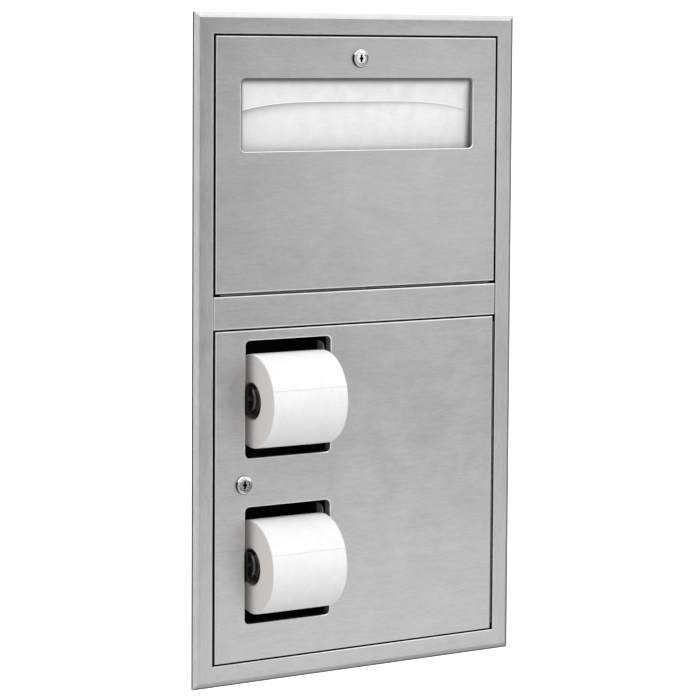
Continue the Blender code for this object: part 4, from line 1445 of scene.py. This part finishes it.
        def turned(u: float, v: float, depth: float) -> Point3:
            """Turn the cam to its rest position."""
            return self.plane(u * cosine - v * sine, u * sine + v * cosine, depth)

        end = self.cam_front + self.cam_sheet
        hole = levels(self.square(self.tang_half + SEAT_GAP, 32), self.cam_front, end)
        return Shell(turned).sheet([levels(outline, self.cam_front, end), hole])

    def screw_shell(self) -> Shell:
        """Cam screw with a domed, slotted head.

        Returns:
            Its shell.
        """
        end = self.cam_front + self.cam_sheet + self.tang_past_cam
        head = end + SEAT_GAP
        top = head + self.screw_head_height
        round_off = self.screw_head_height / 3
        rings = levels(circle(self.tang_half / 2, 32), end - 2 * self.tang_half, head)
        rings += levels(circle(self.screw_head_radius, 32), head, top - round_off)
        rings += levels(circle(self.screw_head_radius - round_off, 32), top)
        slot = [(side * self.tang_half, rise * self.slot_half_width)
                for side, rise in ((-1, -1), (1, -1), (1, 1), (-1, 1))]
        return Shell(self.plane).sheet([rings], (), [levels(slot, top, top - self.slot_depth)])


@dataclass
class SpindleArm:
    """Bent steel arm: plate with a nose and an open slot, and a foot on the housing's back."""

    prefix: str
    word: str
    side: int
    sheet: float = 0.0015
    half_height: float = 0.0610054
    corner: float = 0.008
    nose_half_height: float = 0.0185
    nose_corner: float = 0.002
    nose_end: float = -0.0002
    shoulder: float = 0.0122
    axis_depth: float = 0.006
    slot_half: float = 0.0038
    bend_radius: float = 0.003
    steps: int = 10

    def outline(self) -> list[Point2]:
        """Side view in (depth, height) from the spindle, without the edge at the bend.

        Returns:
            Its points.
        """
        tall = self.half_height - self.corner
        short = self.nose_half_height - self.nose_corner
        corner = self.shoulder + self.corner
        nose = self.nose_end + self.nose_corner
        return [*arc((corner, -tall), self.corner, 2, self.steps)[::-1],
                (self.shoulder, -self.nose_half_height),
                *arc((nose, -short), self.nose_corner, 2, self.steps)[::-1],
                *arc((nose, short), self.nose_corner, 1, self.steps)[::-1],
                (self.axis_depth - self.slot_half, self.nose_half_height),
                *arc((self.axis_depth, 0.0), self.slot_half, 2, self.steps),
                *arc((self.axis_depth, 0.0), self.slot_half, 3, self.steps)[1:],
                (self.axis_depth + self.slot_half, self.nose_half_height),
                (self.shoulder, self.nose_half_height),
                *arc((corner, tall), self.corner, 1, self.steps)[::-1]]

    def build(self) -> None:
        """Build the arm in place of its node."""
        node = f"{self.prefix}_{self.word}_arm"
        low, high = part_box(node)
        inner = low.x if self.side > 0 else high.x
        foot_end = high.x - low.x
        bend_depth = high.y - FRONT_Y - self.bend_radius
        height = (low.z + high.z) / 2
        plate = [(bend_depth, -self.half_height), *self.outline(), (bend_depth, self.half_height)]
        shell = Shell(lambda out, rise, depth: on_front(inner + self.side * out, height + rise, depth))
        rings, plates = [], []
        for radius in (self.bend_radius, self.bend_radius - self.sheet):
            bend = arc((0.0, 0.0), radius, 0, self.steps)
            path = [(self.bend_radius - out, bend_depth + deep) for out, deep in bend]
            path.append((foot_end, bend_depth + radius))
            front = shell.ring([(path[0][0], rise, depth) for depth, rise in plate])
            low_edge = [front[0], *shell.ring([(out, -self.half_height, depth) for out, depth in path[1:]])]
            high_edge = [front[-1], *shell.ring([(out, self.half_height, depth) for out, depth in path[1:]])]
            shell.bridge(low_edge, high_edge, closed=False)
            rings.append(front + high_edge[1:] + low_edge[:0:-1])
            plates.append(front)
        shell.bridge(*rings)
        for front in plates:
            shell.fill(front)
        add_piece(node + "_formed", shell.mesh(node + "_formed"), ARM_STEEL, "cabinet", node)


@dataclass
class Spindle:
    """Glossy black spindle with rounded hubs and a lug at each end."""

    prefix: str
    lug_radius: float = 0.0035
    hub_radius: float = 0.0148
    hub_rim: float = 0.0022
    hub_half: float = 0.05015
    shoulder_half: float = 0.045
    recess_radius: float = 0.0082
    recess_depth: float = 0.0008
    sides: int = 72

    def build(self) -> None:
        """Build the spindle in place of its node."""
        node = self.prefix + "_spindle"
        low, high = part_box(node)
        middle = (low + high) / 2
        radius = (high.z - low.z) / 2
        lug_end = (high.x - low.x) / 2
        soft = self.lug_radius / 6
        floor = self.hub_half - self.recess_depth
        end = [(self.lug_radius - soft, lug_end), (self.lug_radius, lug_end - soft), (self.lug_radius, floor),
               (self.recess_radius, floor), (self.recess_radius + self.recess_depth, self.hub_half),
               *arc((self.hub_radius - self.hub_rim, self.hub_half - self.hub_rim), self.hub_rim, 0, 8)[::-1],
               (self.hub_radius, self.shoulder_half), (radius - soft, self.shoulder_half),
               (radius, self.shoulder_half - soft)]
        stations = [(reach, -along) for reach, along in end] + end[::-1]
        shell = Shell(lambda u, v, along: (middle.x + along, middle.y + u, middle.z + v))
        mesh = shell.lathe(stations, self.sides).mesh(node + "_moulded")
        add_piece(node + "_moulded", mesh, PLASTIC, self.prefix + "_spindle", node)


@dataclass
class PaperRoll:
    """Toilet roll: embossed skin with its free edge, wound ends, and a board core."""

    prefix: str
    tail_angle: float
    tail_skew: float = 0.016
    tail_fall: float = 60.0
    skin_slack: float = 0.00022
    sheet_step: float = 0.0003
    tail_lift: float = 0.00025
    edge_radius: float = 0.0016
    cut_share: float = 0.9
    emboss_depth: float = 0.0002
    emboss_cells: float = 30.0
    emboss_length: float = 0.0115
    end_rings: int = 40
    end_relief: float = 0.00016
    columns: int = 420
    rows_along: int = 112
    core_wall: float = 0.0008
    core_recess: float = 0.0004
    core_bore: float = 0.021

    def section(self, radius: float, half: float, inner: float, chance: random.Random) -> list[tuple]:
        """Closed section as (radius, along, how far it belongs to the outer skin).

        Args:
            radius: Radius of the skin.
            half: Half of the roll's length.
            inner: Radius of the bore through the paper.
            chance: Source of the random steps of the wound ends.

        Returns:
            Its stations, skin first.
        """
        flat = half - self.edge_radius
        skin = []
        for row in range(self.rows_along + 1):
            along = -flat + 2 * flat * row / self.rows_along
            skin.append((radius, along, min(1.0, (flat - abs(along)) / self.emboss_length)))
        edge = radius - self.edge_radius
        right = [(r, a, 0.0) for r, a in arc((edge, flat), self.edge_radius, 0, 6)[1:]]
        for ring in range(1, self.end_rings):
            along = half - self.end_relief * chance.random()
            right.append((edge - (edge - inner) * ring / self.end_rings, along, 0.0))
        right.append((inner, half - self.end_relief, 0.0))
        return skin + right + [(r, -a, mask) for r, a, mask in right[::-1]]

    def build(self, embossing: EmbossTree) -> None:
        """Build paper and core in place of their nodes.

        Args:
            embossing: Tree that presses the pattern into the skin.
        """
        node = self.prefix + "_roll_paper"
        low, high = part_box(node)
        middle = (low + high) / 2
        half = (high.x - low.x) / 2
        radius = (high.z - low.z) / 2 - self.skin_slack
        inner = self.core_bore + self.core_wall + SEAT_GAP
        rings = []
        for reach, along, mask in self.section(radius, half, inner, random.Random(self.prefix)):
            share = max(0.0, (reach - inner) / (radius - inner))
            # Cut ends carry the rim mark, which takes the finish's edge colour: a warm tint with painted
            # shade.
            cut = 1.0 if reach < radius - self.edge_radius * self.cut_share else 0.0
            ring = []
            for column in range(self.columns):
                turn = column / (self.columns - 1) * (1 - 1 / self.columns / 12)
                lift = self.tail_lift * math.exp(-turn * self.tail_fall) - self.sheet_step * turn
                angle = self.tail_angle + self.tail_skew * along / half / 2 + 2 * math.pi * turn
                out = reach + lift * share
                ring.append((along, -out * math.cos(angle), out * math.sin(angle), mask, cut))
            rings.append(ring)
        shell = Shell(lambda x, y, z: (middle.x + x, middle.y + y, middle.z + z), ("skin", "rim"))
        made = shell.wall(rings)
        shell.bridge(made[-1], made[0])
        mesh = embossing.run(shell.mesh(node + "_wound"), {
            "Centre": tuple(middle), "Cells Round": self.emboss_cells, "Cell Length": self.emboss_length,
            "Depth": self.emboss_depth, "Material": ROLL_SKIN.material()})
        add_piece(node + "_wound", smoothed(mesh, 60.0), ROLL_SKIN, self.prefix + "_roll", node)
        self.build_core(middle, half)

    def build_core(self, middle: Vector, half: float) -> None:
        """Build the board tube, a little shorter than the paper.

        Args:
            middle: Middle of the roll.
            half: Half of the roll's length.
        """
        node = self.prefix + "_roll_core"
        bore, outside = self.core_bore, self.core_bore + self.core_wall
        soft = self.core_wall / 4
        end = half - self.core_recess
        stations = [(bore, -end + soft), (bore + soft, -end), (outside - soft, -end), (outside, -end + soft),
                    (outside, end - soft), (outside - soft, end), (bore + soft, end), (bore, end - soft)]
        shell = Shell(lambda u, v, along: (middle.x + along, middle.y + u, middle.z + v))
        mesh = shell.lathe(stations, 96, ring_shaped=True).mesh(node + "_wound")
        add_piece(node + "_wound", mesh, BOARD, self.prefix + "_roll", node)


@dataclass
class SeatCovers:
    """Pack of folded seat covers and the front cover with its arched edge."""

    leaf_count: int = 30
    leaf_share: float = 0.86
    leaf_inset: float = 0.0012
    jitter: tuple = (0.0009, 0.00002, 0.0)
    seed: int = 7
    fold_steps: int = 6
    front_sheet: float = 0.0006
    swell: float = 0.0045
    swell_share: float = 0.825
    arch_power: float = 4.0
    end_fall: float = 0.0198
    crown_drop: float = 0.0255
    crease_depth: float = 0.00022
    slow_crease: tuple = (0.7, 7.3, 9.1, 3.1, -13.0, 0.6)
    fine_crease: tuple = (0.5, 61.0, 5.0, 11.0, 0.8)
    crease_foot: float = 4.0
    tall_cover: float = 0.0032
    nearest_depth: float = 0.0074
    foot_fade: float = 0.05
    foot_shade: float = 0.2
    crest_fade: float = 0.0042
    crest_shade: float = 0.83
    crest_line: float = 0.0012
    crest_start: float = 1.4
    crest_lean: float = 0.6
    top_fade: float = 0.005
    top_shade: float = 0.85
    right_fade: float = 0.0048
    right_shade: float = 0.86
    right_view: float = 0.67
    left_fade: float = 0.0016
    left_shade: float = 0.9
    left_view: float = 0.545
    # Width of the full painted shade that stands for the dark gap at the right of the foot.
    foot_shade_width: float = 0.0042
    columns: int = 200
    rows: int = 100

    def build(self, rows: RowRepeater) -> None:
        """Build the pack and the front cover.

        Args:
            rows: Repeater for the folded leaves.
        """
        self.build_pack(rows)
        self.build_front()

    def build_pack(self, rows: RowRepeater) -> None:
        """Stack the folded leaves, each with a round fold along its top.

        Args:
            rows: Repeater for the leaves.
        """
        low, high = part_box("seat_cover_pack")
        pitch = (high.y - low.y) / self.leaf_count
        thick = pitch * self.leaf_share
        half = (high.x - low.x) / 2 - self.leaf_inset
        fold = [math.pi * step / self.fold_steps for step in range(self.fold_steps + 1)]
        section = [(0.0, low.z), (thick, low.z),
                   *[(thick / 2 * (1 + math.cos(a)), high.z + thick / 2 * (math.sin(a) - 1)) for a in fold]]
        shell = Shell(lambda along, rise, deep: (along, low.y + deep, rise))
        shell.bar([[(side * half, rise, deep) for deep, rise in section] for side in (-1, 1)])
        mesh = rows.repeat(shell.mesh("pack_leaf"), self.leaf_count, (0.0, pitch, 0.0), COVER_SKIN,
                           self.jitter, self.seed)
        add_piece("seat_cover_pack_leaves", smoothed(mesh, 50.0), COVER_SKIN, "cabinet", "seat_cover_pack")

    def crease(self, across: float, rise: float) -> float:
        """Depth of the soft creases at a place of the front cover.

        Args:
            across: Place from the left end to the right, from -1 to 1.
            rise: Place from the foot to the arched edge, from 0 to 1.

        Returns:
            A small depth in metres.
        """
        share, wide, tall, skew, turn, start = self.slow_crease
        slow = share * math.sin(wide * across + tall * rise) * math.sin(skew * across + turn * rise + start)
        share, tall, bow, wide, start = self.fine_crease
        fine = share * math.sin(tall * rise + bow * across * across) * math.sin(wide * across + start)
        return self.crease_depth * (slow + fine * (1 - rise))

    def front_y(self, across: float, rise: float, rest: float, least: float) -> float:
        """Y of the short half's front skin.

        Args:
            across: Place from the left end to the right, from -1 to 1.
            rise: Place from the foot to the arched edge, from 0 to 1.
            rest: Y of the flat sheet.
            least: Smallest Y.

        Returns:
            The place along Y.
        """
        edge = 1 - abs(across) ** self.arch_power
        swell = math.sin(math.pi * rise * self.swell_share) * edge
        crease = self.crease(across, rise) * edge * min(1.0, rise * self.crease_foot)
        return max(rest - self.swell * swell + crease, least)

    def half_sheet(self, name: str, place: Callable[[float, float], tuple]) -> Mesh:
        """One thin sheet over a grid.

        Args:
            name: The mesh's name.
            place: Turns (across, rise) into (x, z, y, rim mark, inside mark). Its rows lie closer at the top.

        Returns:
            Its mesh.
        """
        shell = Shell(lambda x, z, y: (x, y, z))
        skins = []
        for thickness in (0.0, self.front_sheet):
            grid = []
            for row in range(self.rows + 1):
                points = []
                for column in range(self.columns + 1):
                    x, z, y, *marks = place(2 * column / self.columns - 1, 1 - (1 - row / self.rows) ** 2)
                    points.append((x, z, y + thickness, *marks))
                grid.append(shell.ring(points))
            for lower, upper in zip(grid, grid[1:]):
                shell.bridge(lower, upper, closed=False)
            right = [line[-1] for line in grid[1:-1]]
            left = [line[0] for line in grid[1:-1]]
            skins.append(grid[0] + right + grid[-1][::-1] + left[::-1])
        shell.bridge(*skins)
        return shell.mesh(name)

    def side_shade(self, x: float, window_half: float, depth: float, wide: float = 0.0) -> float:
        """Shade that the window's sides cast on a sheet behind it.

        Args:
            x: Place on the sheet.
            window_half: Half of the window's width.
            depth: Depth of the sheet behind the front plane.
            wide: Width of the full shade at the right.

        Returns:
            The mark, from nought to one.
        """
        left = max(0.0, x + window_half - depth * self.left_view)
        right = max(0.0, window_half + (depth - Doors.window_lip) * self.right_view - x - wide)
        return max(self.left_shade * math.exp(-(left / self.left_fade) ** 2),
                   self.right_shade * math.exp(-(right / self.right_fade) ** 1.5))

    def build_front(self) -> None:
        """Build the front cover: a short arched half, and a tall half that leans to the window behind it."""
        low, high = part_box("front_seat_cover")
        half = high.x
        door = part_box("upper_door_panel")[1]
        window_half = door.x - Doors.seat_window_margin
        window_top = door.z - Doors.seat_window_drop
        window_bottom = window_top - Doors.seat_window_height
        crown = window_top - self.crown_drop
        rest = high.y - self.front_sheet
        tall_top = window_top + self.tall_cover
        near = FRONT_Y + self.nearest_depth

        def short_half(across: float, rise: float) -> tuple:
            """Place on the short half.

            Args:
                across: Place from the left end to the right, from -1 to 1.
                rise: Place from the foot to the arched edge, from 0 to 1.

            Returns:
                The place and its two marks.
            """
            top = crown - self.end_fall * abs(across) ** self.arch_power
            x, z = half * across, low.z + (top - low.z) * rise
            y = self.front_y(across, rise, rest, low.y)
            below = top - z
            line = below / self.crest_line
            foot = clamp(1 - (z - window_bottom) / self.foot_fade)
            fade = self.crest_fade * (1 - self.crest_lean * across)
            crest = math.exp(-below / fade) * clamp(2 * line - self.crest_start)
            shade = max(self.foot_shade * foot + self.crest_shade * crest,
                        self.side_shade(x, window_half, y - FRONT_Y, self.foot_shade_width * foot))
            # The arched edge gets a painted highlight; the shade mark paints the shadow under the edge, the
            # darker foot and the shade by the window's sides.
            return (x, z, y, clamp(2 - 2 * line), min(1.0, shade))

        def tall_half(across: float, rise: float) -> tuple:
            """Place on the tall half, which follows the short one and then leans out.

            Args:
                across: Place from the left end to the right, from -1 to 1.
                rise: Place from the foot to the top edge, from 0 to 1.

            Returns:
                The place and its two marks.
            """
            x, z = half * across, low.z + (tall_top - low.z) * rise
            top = crown - self.end_fall * abs(across) ** self.arch_power
            follow = min(1.0, (z - low.z) / (top - low.z))
            behind = self.front_y(across, follow, rest, low.y) + 2 * self.front_sheet
            lean = clamp((z - top) / (window_top - top))
            y = behind + (near - behind) * lean * lean * (3 - 2 * lean)
            under = self.top_shade * math.exp(-(max(0.0, window_top - z) / self.top_fade) ** 2)
            # Painted shadow under the window's top edge and by its sides.
            return (x, z, y, 0.0, max(under, self.side_shade(x, window_half, y - FRONT_Y)))

        tall = self.half_sheet("tall_half", tall_half)
        short = self.half_sheet("front_seat_cover_sheet", short_half)
        add_piece("front_seat_cover_sheet", join(short, tall), COVER_SKIN, "cabinet", "front_seat_cover")


@dataclass
class Studio:
    """Pale wall round the recess, pale floor, soft light and the photograph's camera."""

    wall_half_width: float = 4.0
    wall_top: float = 3.0
    recess_half_width: float = 0.2
    recess_half_height: float = 0.3715
    floor_drop: float = 1.3
    floor_half_depth: float = 5.0
    wall_gap: float = 0.0002
    flange_projection: float = 0.0056
    focal_pixels: float = 2538.7
    image_pixels: float = 700.0
    sensor: float = 36.0
    principal_y_pixels: float = 211.9
    yaw: float = math.radians(31.05)
    pitch: float = math.radians(3.68)
    roll: float = math.radians(-0.35)
    eye: Point3 = (-1.5452, -2.6519, 0.3471)
    glows: tuple = (((0.0, -0.1, 1.0), 2.0, 2.38), ((0.96, -0.29, 0.0), 6.0, 1.01),
                    ((-0.8, -0.6, 0.0), 3.0, 0.97), ((0.0, -0.5, -0.87), 4.0, 1.25),
                    ((0.2, 0.0, -0.98), 4.0, 0.19), ((0.0, 1.0, 0.25), 2.0, 1.1))
    boxes: tuple = (("low_box", (1.04, -1.9, -0.838), (1.6, 0.315), 1.72),
                    ("high_box", (1.215, -1.9, 0.18), (0.585, 0.565), 1.56))
    paper_key: tuple = ("paper_key", (-0.75, -2.1, 1.25), (1.0, 1.0), 3.8)

    def build(self) -> None:
        """Set up stage, light and camera."""
        bpy.context.scene.view_settings.view_transform = "Standard"
        self.build_wall()
        self.build_floor()
        self.build_world()
        self.build_lights()
        self.build_camera()

    def pale(self, name: str, grey: float, glow: float = 0.0) -> bpy.types.Material:
        """A matt pale material for the stage.

        Args:
            name: The material's name.
            grey: Its colour.
            glow: Light that it gives to the camera; with it, it can be looked through from behind.

        Returns:
            The material.
        """
        made = bpy.data.materials.new(name)
        made.use_nodes = True
        board = NodeBoard(made.node_tree)
        shader = made.node_tree.nodes["Principled BSDF"]
        for label, value in {"Base Color": (grey, grey, grey, 1.0), "Roughness": 0.9,
                             "Specular IOR Level": 0.0, "Emission Color": (1.0, 1.0, 1.0, 1.0),
                             "Emission Strength": 0.0}.items():
            shader.inputs[label].default_value = value
        if glow:
            seen = board.add("ShaderNodeLightPath").outputs["Is Camera Ray"]
            made.node_tree.links.new(board.math("MULTIPLY", seen, glow), shader.inputs["Emission Strength"])
            behind = board.add("ShaderNodeNewGeometry").outputs["Backfacing"]
            clear = board.add("ShaderNodeBsdfTransparent").outputs[0]
            mix = board.add("ShaderNodeMixShader", {0: behind, 1: shader.outputs[0], 2: clear})
            surface = made.node_tree.nodes["Material Output"].inputs["Surface"]
            made.node_tree.links.new(mix.outputs[0], surface)
        return made

    @staticmethod
    def panel(name: str, corners: Sequence[Point3], faces: Sequence,
              material: bpy.types.Material) -> bpy.types.Object:
        """Add a flat panel of the stage that steel doesn't mirror.

        Args:
            name: Its name.
            corners: Its corners.
            faces: Its faces, as numbers of corners.
            material: Its material.

        Returns:
            The panel's object.
        """
        mesh = bpy.data.meshes.new(name)
        mesh.from_pydata(corners, [], faces)
        mesh.materials.append(material)
        panel = bpy.data.objects.new(name, mesh)
        bpy.context.scene.collection.objects.link(panel)
        panel.visible_glossy = False
        return panel

    def build_wall(self) -> None:
        """Finished wall behind the flange, with the recess for the cabinet."""
        y = FRONT_Y + self.flange_projection + self.wall_gap
        bottom = -self.floor_drop
        outer = [(-self.wall_half_width, bottom), (self.wall_half_width, bottom),
                 (self.wall_half_width, self.wall_top), (-self.wall_half_width, self.wall_top)]
        hole = [(side * self.recess_half_width, rise * self.recess_half_height)
                for side, rise in ((-1, -1), (1, -1), (1, 1), (-1, 1))]
        wall = self.panel("stage_wall", [(u, y, v) for u, v in outer + hole],
                          [(i, (i + 1) % 4, 4 + (i + 1) % 4, 4 + i) for i in range(4)],
                          self.pale("stage_wall_white", 0.5, 1.0))

    def build_floor(self) -> None:
        """Pale floor well below the unit."""
        reach, z = self.floor_half_depth, -self.floor_drop
        corners = [(-reach, -reach, z), (reach, -reach, z), (reach, reach, z), (-reach, reach, z)]
        floor = self.panel("stage_floor", corners, [(0, 1, 2, 3)], self.pale("stage_floor_pale", 0.75))
        floor.visible_diffuse = False
        floor.visible_shadow = False

    def build_world(self) -> None:
        """Soft surroundings, brighter above and in front, and plain pale to the camera."""
        world = bpy.data.worlds.new("studio")
        bpy.context.scene.world = world
        world.use_nodes = True
        board = NodeBoard(world.node_tree)
        way = board.add("ShaderNodeTexCoord").outputs["Generated"]
        light: object = 0.0
        for direction, sharpness, strength in self.glows:
            toward = tuple(Vector(direction).normalized())
            facing = board.vector("DOT_PRODUCT", way, toward).outputs["Value"]
            lobe = board.math("POWER", board.math("MAXIMUM", facing, 0.0), sharpness)
            light = board.math("MULTIPLY_ADD", lobe, strength, light)
        seen = board.add("ShaderNodeLightPath").outputs["Is Camera Ray"]
        glow = board.add("ShaderNodeMix", {"Factor": seen, "A": light, "B": 1.0}, data_type="FLOAT")
        back = world.node_tree.nodes["Background"]
        world.node_tree.links.new(glow.outputs["Result"], back.inputs["Strength"])
        back.inputs["Color"].default_value = (1.0, 1.0, 1.0, 1.0)

    def build_lights(self) -> None:
        """Upright soft boxes that the steel faces mirror, and a key light that only matt paper shows."""
        for name, place, size, radiance in self.boxes:
            self.area(name, place, size, radiance).rotation_euler = (math.pi / 2, 0.0, 0.0)
        key = self.area(*self.paper_key)
        toward = Vector((0.0, FRONT_Y, 0.0)) - Vector(self.paper_key[1])
        key.rotation_euler = toward.to_track_quat("-Z", "Y").to_euler()
        key.visible_glossy = False

    @staticmethod
    def area(name: str, place: Point3, size: Point2, radiance: float) -> bpy.types.Object:
        """Add a rectangular lamp.

        Args:
            name: Its name.
            place: Its middle.
            size: Its width and height.
            radiance: Brightness of its face.

        Returns:
            The lamp's object.
        """
        lamp = bpy.data.lights.new(name, "AREA")
        lamp.shape = "RECTANGLE"
        lamp.size, lamp.size_y = size
        lamp.energy = math.pi * size[0] * size[1] * radiance
        holder = bpy.data.objects.new(name, lamp)
        bpy.context.scene.collection.objects.link(holder)
        holder.location = place
        return holder

    def build_camera(self) -> None:
        """Camera at the photograph's place, angle and length."""
        forward = Vector((math.sin(self.yaw) * math.cos(self.pitch),
                          math.cos(self.yaw) * math.cos(self.pitch), -math.sin(self.pitch)))
        right = Vector((math.cos(self.yaw), -math.sin(self.yaw), 0.0))
        down = forward.cross(right)
        across = math.cos(self.roll) * right + math.sin(self.roll) * down
        below = math.cos(self.roll) * down - math.sin(self.roll) * right
        lens = bpy.data.cameras.new("photo_camera")
        lens.sensor_width = self.sensor
        lens.lens = self.focal_pixels / self.image_pixels * self.sensor
        lens.shift_y = self.principal_y_pixels / self.image_pixels - 0.5
        lens.clip_end = 100.0
        holder = bpy.data.objects.new("photo_camera", lens)
        bpy.context.scene.collection.objects.link(holder)
        turn = Matrix((across, -below, -forward)).transposed()
        holder.matrix_world = Matrix.Translation(self.eye) @ turn.to_4x4()
        bpy.context.scene.camera = holder


def main() -> None:
    """Build every sub-assembly in order."""
    logging.basicConfig(level=logging.INFO, format="%(name)s: %(message)s")
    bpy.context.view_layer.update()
    rows = RowRepeater()
    embossing = EmbossTree()
    Studio().build()
    Flange().build()
    Doors().build()
    CabinetShell().build(rows)
    for prefix in ("upper", "lower"):
        PianoHinge(prefix).build(rows)
        for word, side in (("left", -1), ("right", 1)):
            SpindleArm(prefix, word, side).build()
        Spindle(prefix).build()
    CamLock("upper", 0.0).build()
    CamLock("lower", math.pi / 2).build()
    PaperRoll("upper", math.radians(18.6)).build(embossing)
    PaperRoll("lower", math.radians(23.4)).build(embossing)
    SeatCovers().build(rows)


if __name__ == "__main__":
    main()
